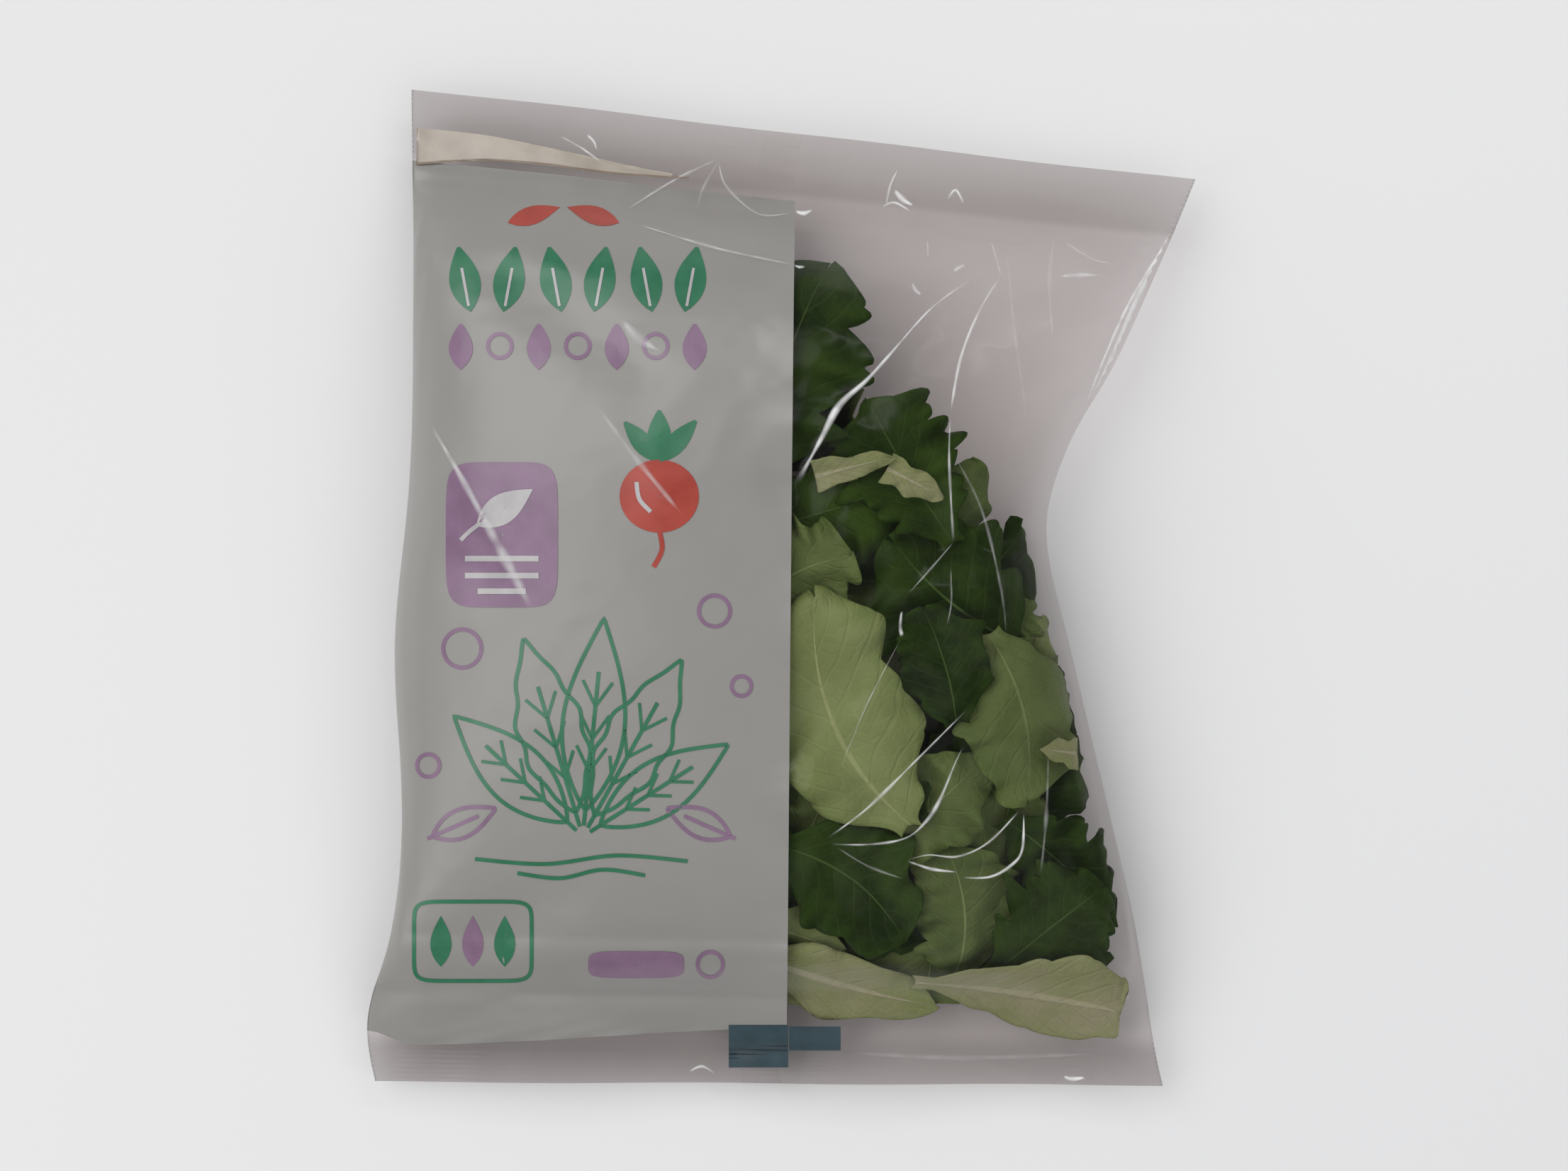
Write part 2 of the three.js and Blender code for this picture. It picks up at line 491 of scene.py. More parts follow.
@dataclass(frozen=True)
class FilmFinish:
    """The look of one kind of film."""

    name: str
    colour: Colour
    solid: float
    roughness: float
    haze: float
    passes: Colour = (0.88, 0.856, 0.852, 1.0)
    # what the film lets through where its dim value is 1; over the bottom weld this is painted shade
    dimmed: Colour = (0.5, 0.485, 0.475, 1.0)
    edge: float = 0.4
    mirror: float = 0.85
    cells: float = 30.0
    bump: float = 0.2

    def material(self, crinkle: bpy.types.NodeTree) -> bpy.types.Material:
        """Makes the film's material.

        Args:
            crinkle: The group that gives the film its fine crinkles.

        Returns:
            A gloss film that is as solid as its finish says, and more so where it is seen edge on.
        """
        made, nodes = new_material(self.name)
        fine = nodes.group(crinkle, {"Cells": self.cells, "Streaks": 0.25})
        normal = nodes.add(
            "Bump", {"Height": fine.outputs["Height"], "Strength": self.bump, "Distance": 0.4 * MM}
        ).outputs[0]
        haze = fine.outputs["Haze"]
        shade = nodes.mix(haze, scaled(self.colour, 1 - self.haze), scaled(self.colour, 1 + self.haze))
        rough = nodes.math("MULTIPLY_ADD", haze, 0.1, self.roughness)
        gloss = nodes.add("BsdfPrincipled", {"Base Color": shade, "Roughness": rough, "Normal": normal})
        if self.solid >= 1.0:
            gloss.inputs["Coat Weight"].default_value = PRINT_COAT
            gloss.inputs["Coat Roughness"].default_value = PRINT_COAT
            nodes.surface(gloss.outputs[0])
            return made
        gloss.inputs["Metallic"].default_value = self.mirror
        facing = nodes.add("LayerWeight", {"Blend": 0.5, "Normal": normal}).outputs["Facing"]
        share = nodes.math("MULTIPLY_ADD", nodes.math("POWER", facing, 3.0), self.edge, self.solid)
        # Painted shade over the bottom weld, and a dimmer top weld, where the film's dim value is high.
        dim = nodes.add("Attribute", attribute_name="dim").outputs["Fac"]
        passes = nodes.mix(dim, self.passes, self.dimmed)
        clear = nodes.add("BsdfTransparent", {"Color": passes})
        mixed = nodes.add("MixShader", {0: share, 1: clear.outputs[0], 2: gloss.outputs[0]})
        nodes.surface(mixed.outputs[0])
        return made


def glint_material() -> bpy.types.Material:
    """Makes the material of the painted highlights on folds: white lines, as solid as their own glint value
    says.

    Returns:
        The new material.
    """
    made, nodes = new_material("film_glint")
    share = nodes.add("Attribute", attribute_name="glint").outputs["Fac"]
    white = nodes.add("BsdfPrincipled", {"Base Color": (0.95, 0.945, 0.93, 1.0), "Roughness": 0.2})
    clear = nodes.add("BsdfTransparent", {"Color": WHITE})
    mixed = nodes.add("MixShader", {0: share, 1: clear.outputs[0], 2: white.outputs[0]})
    nodes.surface(mixed.outputs[0])
    return made


@dataclass(frozen=True)
class LeafFinish:
    """The colours of one kind of leaf."""

    name: str
    blade: Colour
    deep: Colour
    margin: Colour
    rib: Colour
    rib_width: float = 0.22
    vein_pitch: float = 9.0
    vein_strength: float = 0.35
    shine: float = 0.12

    def material(self, veins: bpy.types.NodeTree) -> bpy.types.Material:
        """Makes the leaf's material.

        Args:
            veins: The group that draws ribs and veins.

        Returns:
            A soft, slightly glossy leaf.
        """
        made, nodes = new_material(self.name)
        drawn = nodes.group(veins, {"RibWidth": self.rib_width, "VeinPitch": self.vein_pitch})
        place = nodes.add("TexCoord").outputs["Object"]
        tone = nodes.add("Attribute", attribute_name="tone").outputs["Fac"]
        cloud = nodes.ramp(nodes.noise(place, 62.0, 3.0), 0.34, 0.66)
        depth = nodes.math("MULTIPLY_ADD", cloud, 0.5, nodes.math("MULTIPLY", tone, 0.5))
        shade = nodes.mix(depth, self.blade, self.deep)
        shade = nodes.mix(nodes.math("MULTIPLY", drawn.outputs["Margin"], 0.6), shade, self.margin)
        shade = nodes.mix(nodes.math("MULTIPLY", drawn.outputs["Vein"], self.vein_strength), shade, self.rib)
        shade = nodes.mix(drawn.outputs["Rib"], shade, self.rib)
        normal = nodes.add(
            "Bump", {"Height": drawn.outputs["Height"], "Strength": 0.55, "Distance": 0.8 * MM}
        ).outputs[0]
        rough = nodes.math("MULTIPLY_ADD", cloud, 0.14, 0.5)
        leaf = nodes.add("BsdfPrincipled", {"Base Color": shade, "Roughness": rough, "Normal": normal})
        leaf.inputs["Specular IOR Level"].default_value = self.shine
        nodes.surface(leaf.outputs[0])
        return made


def grid_piece(name: str, points: np.ndarray) -> bpy.types.Object:
    """Models a sheet by adding a grid and moving its vertices into place.

    Args:
        name: The piece's name.
        points: The place of each vertex, by row and column.

    Returns:
        The new object, with smooth faces.
    """
    rows, columns = points.shape[:2]
    deselect_all()
    bpy.ops.mesh.primitive_grid_add(x_subdivisions=columns - 1, y_subdivisions=rows - 1, size=1.0)
    piece = bpy.context.object
    piece.name = name
    piece.data.name = name
    start = np.zeros(len(piece.data.vertices) * 3, np.float32)
    piece.data.vertices.foreach_get("co", start)
    start = start.reshape(-1, 3)
    column = np.rint((start[:, 0] + 0.5) * (columns - 1)).astype(int)
    row = np.rint((start[:, 1] + 0.5) * (rows - 1)).astype(int)
    piece.data.vertices.foreach_set("co", points[row, column].astype(np.float32).ravel())
    piece.data.uv_layers[0].name = "UVMap"
    piece.data.polygons.foreach_set("use_smooth", [True] * len(piece.data.polygons))
    piece.data.update()
    return piece


def top_and_foot(tree: BVHTree, x: float, y: float) -> tuple[Vector | None, Vector | None]:
    """Gives the highest and the lowest point of a mesh at a place, or None beside it."""
    top = tree.ray_cast(Vector((x, y, RAY_START)), Vector((0, 0, -1)))[0]
    return top, tree.ray_cast(Vector((x, y, -RAY_START)), Vector((0, 0, 1)))[0]


def film_piece(
    name: str, points: np.ndarray, kept: np.ndarray, dim: np.ndarray | None = None,
) -> bpy.types.Object:
    """Makes a part of a tube whose last column is followed by its first.

    Args:
        name: The piece's name.
        points: The tube's points, by row and column.
        kept: True for each face of the part, by row and column.
        dim: How much each point dims what is behind it, from 0 to 1: painted shade over the bottom weld, and
            a dimmer top weld.

    Returns:
        The new object, with smooth faces that look outwards.
    """
    columns = points.shape[1]
    row, column = np.nonzero(kept)
    start, after = row * columns + column, row * columns + (column + 1) % columns
    corners = np.stack([start, after, after + columns, start + columns], 1)
    used, faces = np.unique(corners, return_inverse=True)
    mesh = bpy.data.meshes.new(name)
    mesh.from_pydata(points.reshape(-1, 3)[used].tolist(), [], faces.reshape(corners.shape).tolist())
    mesh.polygons.foreach_set("use_smooth", [True] * len(mesh.polygons))
    mesh.update()
    piece = bpy.data.objects.new(name, mesh)
    bpy.context.scene.collection.objects.link(piece)
    if dim is not None:
        give_values(piece, "dim", dim.ravel()[used])
    return piece


def give_values(piece: bpy.types.Object, name: str, values: np.ndarray) -> None:
    """Gives each vertex of a piece a named value."""
    made = piece.data.attributes.new(name, "FLOAT", "POINT")
    made.data.foreach_set("value", values.astype(np.float32).ravel())


def joined(name: str, pieces: Sequence[bpy.types.Object]) -> bpy.types.Object:
    """Joins pieces into one.

    Args:
        name: The whole's name.
        pieces: The pieces, which are used up.

    Returns:
        The whole.
    """
    deselect_all()
    for piece in pieces:
        piece.select_set(True)
    bpy.context.view_layer.objects.active = pieces[0]
    if len(pieces) > 1:
        bpy.ops.object.join()
    whole = bpy.context.view_layer.objects.active
    whole.name = name
    whole.data.name = name
    return whole


def apply_modifier(piece: bpy.types.Object, name: str, kind: str, **settings) -> None:
    """Adds a modifier to a piece and applies it.

    Args:
        piece: The piece.
        name: The modifier's name.
        kind: Blender's name for its kind.
        settings: The modifier's own settings.
    """
    deselect_all()
    piece.select_set(True)
    bpy.context.view_layer.objects.active = piece
    modifier = piece.modifiers.new(name, kind)
    for key, value in settings.items():
        setattr(modifier, key, value)
    bpy.ops.object.modifier_apply(modifier=modifier.name)


def dress(piece: bpy.types.Object, material: bpy.types.Material) -> None:
    """Gives a piece its material in a slot and its body, and hides the imported solid that it stands for.

    Args:
        piece: The piece.
        material: Its material.
    """
    piece.data.materials.clear()
    piece.data.materials.append(material)
    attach(piece, BODY)
    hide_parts(NODE)
    log.info("%s: %d faces", piece.name, len(piece.data.polygons))


@dataclass(frozen=True)
class Crease:
    """A fold in the front film, with the painted line of light on it.

    Its points and its band are in pixels of the photograph, its height and width in millimetres.
    """

    points: tuple[Point, ...]
    height: float = 0.0
    width: float = 4.0
    # how solid the painted highlight on the fold is, 0 for none
    glint: float = 0.0
    band: float = 4.0
    swell: tuple[float, ...] = (0.4, 1.0, 0.4)

    def line(self) -> np.ndarray:
        """Gives the fold's curve in pixels of the photograph."""
        return spline(self.points, 10)


@dataclass
class FilmTube:
    """The film: a tube with a printed part and a clear part, welded flat at both ends."""

    flat_width: float = 220 * MM
    bottom_weld: float = 9.5 * MM
    top_weld: float = 19 * MM
    weld_gap: float = 0.12 * MM
    rib_pitch: float = 1.4 * MM
    rib_height: float = 0.2 * MM
    left_edge: tuple[Point, ...] = (
        (-111, -140), (-113, -122), (-109.5, -98), (-107.5, -62),
        (-106.5, -18), (-104.5, 30), (-104, 85), (-104, 138),
    )
    right_edge: tuple[Point, ...] = (
        (110, -141), (106, -124), (100.5, -98), (92, -63), (81.5, -20),
        (74, 15), (80, 40), (93, 63), (105.5, 91), (115, 114),
    )
    print_edge_px: tuple[Point, Point] = ((1122, 205), (1110, 1443))
    print_foot: Point = (9.8 * MM, 17.4 * MM)
    foot_turn: float = 5.0 * MM
    foot_bulge: float = 4.0 * MM
    foot_reach: float = 34 * MM
    clear_crumple: float = 0.5
    print_crumple: float = 0.28
    # painted shade over the bottom weld
    foot_painted_shade: float = 0.3
    head_dim: float = 0.2
    floor_gap: float = 0.55 * MM
    coarse_columns: tuple[int, ...] = (23, 36, 50, 23)
    fine_columns: tuple[int, ...] = (46, 80, 150, 46)
    coarse_rows: tuple[int, ...] = (6, 86, 7)
    fine_rows: tuple[int, ...] = (46, 226, 54)
    side_moves: tuple[tuple[Point, float], ...] = (
        ((584, 135), -1.4), ((1680, 262), 1.6), ((560, 900), -3.0), ((545, 1490), -5.2), ((1645, 1520), -2.4),
    )
    side_reach_px: float = 170.0
    top_lift: Point = (3.4 * MM, 1.6 * MM)
    top_reach: float = 50 * MM
    cloth_frames: int = 18
    cloth_reach: float = 6 * MM
    creases: Sequence[Crease] = ()
    length: float = field(init=False)
    edges: list[np.ndarray] = field(init=False)
    points: np.ndarray = field(init=False)

    def __post_init__(self) -> None:
        """Works out the film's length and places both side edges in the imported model."""
        edges = [spline(side) * MM for side in (self.left_edge, self.right_edge)]
        self.length = sum(lengths_along(edge)[-1] for edge in edges) / 2
        both = np.vstack(edges)
        low, high = CAD_BOX
        shift = np.array([low.x + high.x, low.y + high.y]) / 2 - (both.max(0) + both.min(0)) / 2
        self.edges = [edge + shift for edge in edges]

    def ring_places(self) -> np.ndarray:
        """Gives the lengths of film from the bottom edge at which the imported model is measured.

        Returns:
            The lengths, closer together in the welds.
        """
        bottom, body, top = self.coarse_rows
        return np.concatenate([
            np.linspace(0, self.bottom_weld, bottom, endpoint=False),
            np.linspace(self.bottom_weld, self.length - self.top_weld, body, endpoint=False),
            np.linspace(self.length - self.top_weld, self.length, top),
        ])

    def measured_ring(self, tree: BVHTree, place: float) -> tuple[np.ndarray, int, int]:
        """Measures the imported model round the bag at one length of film.

        Args:
            tree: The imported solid.
            place: The length of film from the bottom edge.

        Returns:
            The ring's points from the middle of the back, past the left edge, over the front and
            back again, with the places of the left and the right edge among them.
        """
        inset = np.clip(place, 0.25 * MM, self.length - 0.25 * MM) / self.length
        ends = []
        for edge in self.edges:
            measured = lengths_along(edge)
            ends.append(at_lengths(edge, measured, np.array([inset * measured[-1]]))[0])
        middle, half = (ends[0] + ends[1]) / 2, (ends[1] - ends[0]) / 2
        steps = -np.cos(np.linspace(0, math.pi, 121)) * 0.998
        found = [top_and_foot(tree, *(middle + half * across)) for across in steps]
        front, back = (np.array(side) for side in zip(*found))
        if not self.bottom_weld < place < self.length - self.top_weld:
            between = (front[:, 2] + back[:, 2]) / 2
            at_end = min(place, self.length - place) < 0.1 * MM
            gap = 0.0 if at_end else self.weld_gap / 2
            front[:, 2] = between + gap
            back[:, 2] = between - gap
        count = len(front)
        back_half = count // 2
        ring = np.vstack([back[back_half::-1], front, back[:back_half - 1:-1]])
        return ring, back_half, back_half + count

    def coarse_tube(self) -> tuple[np.ndarray, np.ndarray]:
        """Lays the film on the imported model.

        Returns:
            Its points by row and column, and the flat film's coordinates at each of them.
        """
        node = frame["nodes"][NODE]
        tree = BVHTree.FromObject(node, bpy.context.evaluated_depsgraph_get())
        rows, flats = [], []
        for place in self.ring_places():
            ring, left, right = self.measured_ring(tree, place)
            measured = lengths_along(ring)
            seen = PHOTO.pixels_of(ring[left:right])
            (top_x, top_y), (foot_x, foot_y) = self.print_edge_px
            line = top_x + (seen[:, 1] - top_y) * (foot_x - top_x) / (foot_y - top_y)
            cut = np.interp(0.0, seen[:, 0] - line, measured[left:right])
            knots = [0.0, measured[left], cut, measured[right], measured[-1]]
            wanted = np.concatenate([
                np.linspace(start, end, count, endpoint=False)
                for start, end, count in zip(knots, knots[1:], self.coarse_columns)
            ])
            rows.append(at_lengths(ring, measured, wanted))
            across = wanted / measured[-1] * 2 * self.flat_width
            flats.append(np.stack([across, np.full_like(across, place)], 1))
        return np.array(rows), np.array(flats)

    def relaxed(self, points: np.ndarray, flat: np.ndarray) -> np.ndarray:
        """Lets the film find its own folds, as cloth that can't stretch and is held at its welds.

        Args:
            points: Where the film lies, by row and column.
            flat: The flat film's coordinates.

        Returns:
            Where it lies afterwards.
        """
        film = film_piece("film_cloth", points, np.ones((len(points) - 1, points.shape[1]), bool))
        across, along = flat[..., 0].ravel(), flat[..., 1].ravel()
        quarter = self.flat_width / 2
        spread = np.where(across < quarter, -across, across - self.flat_width)
        spread = np.where(across > 3 * quarter, 2 * self.flat_width - across, spread)
        lift = np.where(np.abs(across - self.flat_width) < quarter, 0.5 * MM, 0.0)
        rest = np.stack([spread, along, lift], 1)
        film.shape_key_add(name="Basis")
        key = film.shape_key_add(name="flat")
        key.data.foreach_set("co", rest.astype(np.float32).ravel())
        held = film.vertex_groups.new(name="weld")
        in_weld = (along <= self.bottom_weld) | (along >= self.length - self.top_weld)
        held.add(np.nonzero(in_weld)[0].tolist(), 1.0, "REPLACE")
        cloth = film.modifiers.new("cloth", "CLOTH")
        settings = cloth.settings
        settings.quality = 5
        settings.mass = 0.002
        settings.tension_stiffness = settings.compression_stiffness = 60
        settings.shear_stiffness = 20
        settings.bending_stiffness = 0.01
        settings.tension_damping = settings.compression_damping = 10
        settings.air_damping = 2
        settings.use_pressure = True
        settings.uniform_pressure_force = 0.5
        settings.vertex_group_mass = "weld"
        settings.rest_shape_key = key
        settings.effector_weights.gravity = 0
        cloth.point_cache.frame_end = self.cloth_frames
        for step in range(1, self.cloth_frames + 1):
            bpy.context.scene.frame_set(step)
        shown = film.evaluated_get(bpy.context.evaluated_depsgraph_get())
        ended = np.zeros(points.size, np.float32)
        shown.data.vertices.foreach_get("co", ended)
        moved = ended.reshape(points.shape) - points
        reach = np.linalg.norm(moved, axis=2, keepdims=True)
        moved *= np.minimum(1.0, self.cloth_reach / np.maximum(reach, 1e-9))
        bpy.data.objects.remove(film)
        bpy.context.scene.frame_set(1)
        log.info("film relaxed by up to %.1f mm", float(reach.max()) / MM)
        return points + moved

    def refined(self, points: np.ndarray, flat: np.ndarray) -> tuple[np.ndarray, np.ndarray]:
        """Reads the film on a finer grid whose lines follow the print's edges.

        Args:
            points: Where the film lies, by row and column.
            flat: The flat film's coordinates.

        Returns:
            The same two things on the finer grid.
        """
        starts = np.cumsum([0, *self.coarse_columns])
        columns = np.concatenate([
            np.linspace(start, end, count, endpoint=False)
            for start, end, count in zip(starts, starts[1:], self.fine_columns)
        ])
        wide = resampled(points, columns, 1, closed=True)
        wrap = np.concatenate([flat, flat[:, :1] + [2 * self.flat_width, 0]], 1)
        wide_flat = resampled(wrap, columns, 1)
        share = np.interp(columns, starts, [1.0, 0.0, 1.0, 1.0, 1.0])
        foot = self.print_foot[0] + (self.print_foot[1] - self.print_foot[0]) * share
        foot += self.foot_turn * np.exp(-((columns - starts[1]) / 2.5) ** 2)
        places = self.ring_places()
        bottom, body, top = self.fine_rows
        along = np.concatenate([
            np.linspace(0, 1, bottom, endpoint=False)[:, None] * foot,
            foot + np.linspace(0, 1, body, endpoint=False)[:, None]
            * (self.length - self.top_weld - foot),
            self.length - self.top_weld + np.linspace(0, 1, top)[:, None]
            * np.full_like(foot, self.top_weld),
        ])
        made = np.zeros((len(along), len(columns), 3))
        made_flat = np.zeros((len(along), len(columns), 2))
        for column in range(len(columns)):
            at = np.interp(along[:, column], places, np.arange(len(places)))
            made[:, column] = resampled(wide[:, column:column + 1], at, 0)[:, 0]
            made_flat[:, column] = resampled(wide_flat[:, column:column + 1], at, 0)[:, 0]
        made_flat[..., 1] = along
        return made, made_flat

    def trimmed(self, points: np.ndarray, flat: np.ndarray) -> np.ndarray:
        """Moves the film's edges by a few millimetres to where the photograph shows them.

        Args:
            points: Where the film lies, by row and column.
            flat: The flat film's coordinates.

        Returns:
            Where it lies afterwards.
        """
        made = points.copy()
        seen = PHOTO.pixels_of(points)
        for spot, move in self.side_moves:
            near = np.exp(-((seen - spot) ** 2).sum(-1) / self.side_reach_px**2)
            made[..., 0] += near * move * MM
        lift = np.interp(points[..., 0], (-self.flat_width / 2, self.flat_width / 2), self.top_lift)
        made[..., 1] += lift * smooth(1 - (self.length - flat[..., 1]) / self.top_reach)
        return made

    def folds(self, points: np.ndarray) -> np.ndarray:
        """Works out how far the creases lift the front film.

        Args:
            points: Where the film lies, by row and column.

        Returns:
            The rise of each point.
        """
        seen = PHOTO.pixels_of(points)
        rise = np.zeros(points.shape[:2])
        for crease in self.creases:
            if not crease.height:
                continue
            near, place = distance_to_line(seen[..., 0], seen[..., 1], crease.line())
            taper = np.sin(np.pi * np.clip(place, 0.04, 0.96)) ** 0.6
            near = near * PHOTO.pixel / (crease.width * MM)
            rise += crease.height * MM * taper * np.exp(-near * 1.6)
        return rise

    def crumple(self, flat: np.ndarray) -> np.ndarray:
        """Works out the film's fine crumpling, which the print makes weaker.

        Args:
            flat: The flat film's coordinates, by row and column.

        Returns:
            How far each point moves outwards.
        """
        across, along = flat[..., 0], flat[..., 1]
        ridged = np.abs(soft_noise(across, along * 0.5, 15 * MM, 5))
        fine = np.abs(soft_noise(across, along, 7 * MM, 9))
        share = np.full(flat.shape[1], self.clear_crumple)
        first = self.fine_columns[0]
        share[first:first + self.fine_columns[1]] = self.print_crumple
        return (0.8 * (0.45 - ridged) + 0.25 * (0.4 - fine)) * MM * share[None, :]

    def creased(self, points: np.ndarray, flat: np.ndarray) -> np.ndarray:
        """Puts the folds, the crumpling and the welds' ribs into the film.

        Args:
            points: Where the film lies, by row and column.
            flat: The flat film's coordinates.

        Returns:
            Where it lies afterwards.
        """
        made = points.copy()
        across, along = flat[..., 0], flat[..., 1]
        front = np.zeros(made.shape[:2], bool)
        front[:, self.fine_columns[0]:sum(self.fine_columns[:3]) + 1] = True
        free = smooth((along - self.bottom_weld) / (12 * MM))
        free *= smooth((self.length - self.top_weld - along) / (12 * MM))
        inward = np.minimum(across - self.flat_width / 2, 1.5 * self.flat_width - across)
        inside = smooth(inward / (9 * MM))
        made[..., 2] += np.where(front, self.folds(made) * free * inside, 0.0)
        risen = np.sin(np.pi * np.clip((along - self.bottom_weld) / self.foot_reach, 0, 1))
        made[..., 2] += np.where(front, risen * self.foot_bulge * smooth(inward / (16 * MM)), 0.0)
        crumple = self.crumple(flat)
        made[..., 2] += np.where(front, crumple * free, -crumple * free * 0.5)
        ribs = np.sin(2 * math.pi * along / self.rib_pitch) * self.rib_height
        ribs += 0.25 * MM * soft_noise(made[..., 0], made[..., 1] * 0.3, 9 * MM, 3)
        made[..., 2] += ribs * (1 - free) * smooth(np.minimum(along, self.length - along) / MM)
        made[..., 2] = np.maximum(made[..., 2], self.floor_gap)
        return made

    def build(self, clear: bpy.types.Material, printed: bpy.types.Material) -> None:
        """Makes both parts of the film.

        Args:
            clear: The clear part's material.
            printed: The printed part's material.
        """
        points, flat = self.coarse_tube()
        points = self.relaxed(points, flat)
        points, flat = self.refined(points, flat)
        self.points = self.creased(self.trimmed(points, flat), flat)
        first, last = self.fine_rows[0], sum(self.fine_rows[:2])
        inked = np.zeros((len(self.points) - 1, self.points.shape[1]), bool)
        inked[first:last, :sum(self.fine_columns[:2])] = True
        along = flat[..., 1]
        # Painted shade over the bottom weld, and a dimmer top weld.
        dim = self.foot_painted_shade * smooth((self.bottom_weld + 7 * MM - along) / (7 * MM))
        dim += self.head_dim * smooth((along - self.length + self.top_weld) / (3 * MM))
        dress(film_piece("film_clear", self.points, ~inked, dim), clear)
        dress(film_piece("film_printed", self.points, inked), printed)


@dataclass
class FinSeam:
    """The seam that closes the film into a tube, folded flat along the middle of its back."""

    tube: FilmTube
    width: float = 11 * MM

    def build(self, material: bpy.types.Material) -> None:
        """Makes the seam.

        Args:
            material: Its material.
        """
        line = self.tube.points[::3, 0]
        across = np.linspace(0, 1, 9)
        points = np.repeat(line[:, None], len(across), 1)
        points[..., 0] -= across * self.width
        drop = 0.22 * MM * smooth(across * 4)
        ribs = 0.05 * MM * np.sin(across * 24)
        points[..., 2] = np.maximum(points[..., 2] - drop + ribs, 0.12 * MM)
        piece = grid_piece("fin_seam", points[:, ::-1])
        dress(piece, material)


NEIGHBOURS = tuple((down, right) for down in (-1, 0, 1) for right in (-1, 0, 1))


def round_each(heights: np.ndarray) -> np.ndarray:
    """Stacks a raster nine times, moved so that each point's neighbours lie over it."""
    return np.array([np.roll(heights, turn, (0, 1)) for turn in NEIGHBOURS])


def spread_low(heights: np.ndarray) -> np.ndarray:
    """Gives each point of a raster the lowest height round it, and softens the steps."""
    return round_each(round_each(heights).min(0)).mean(0)


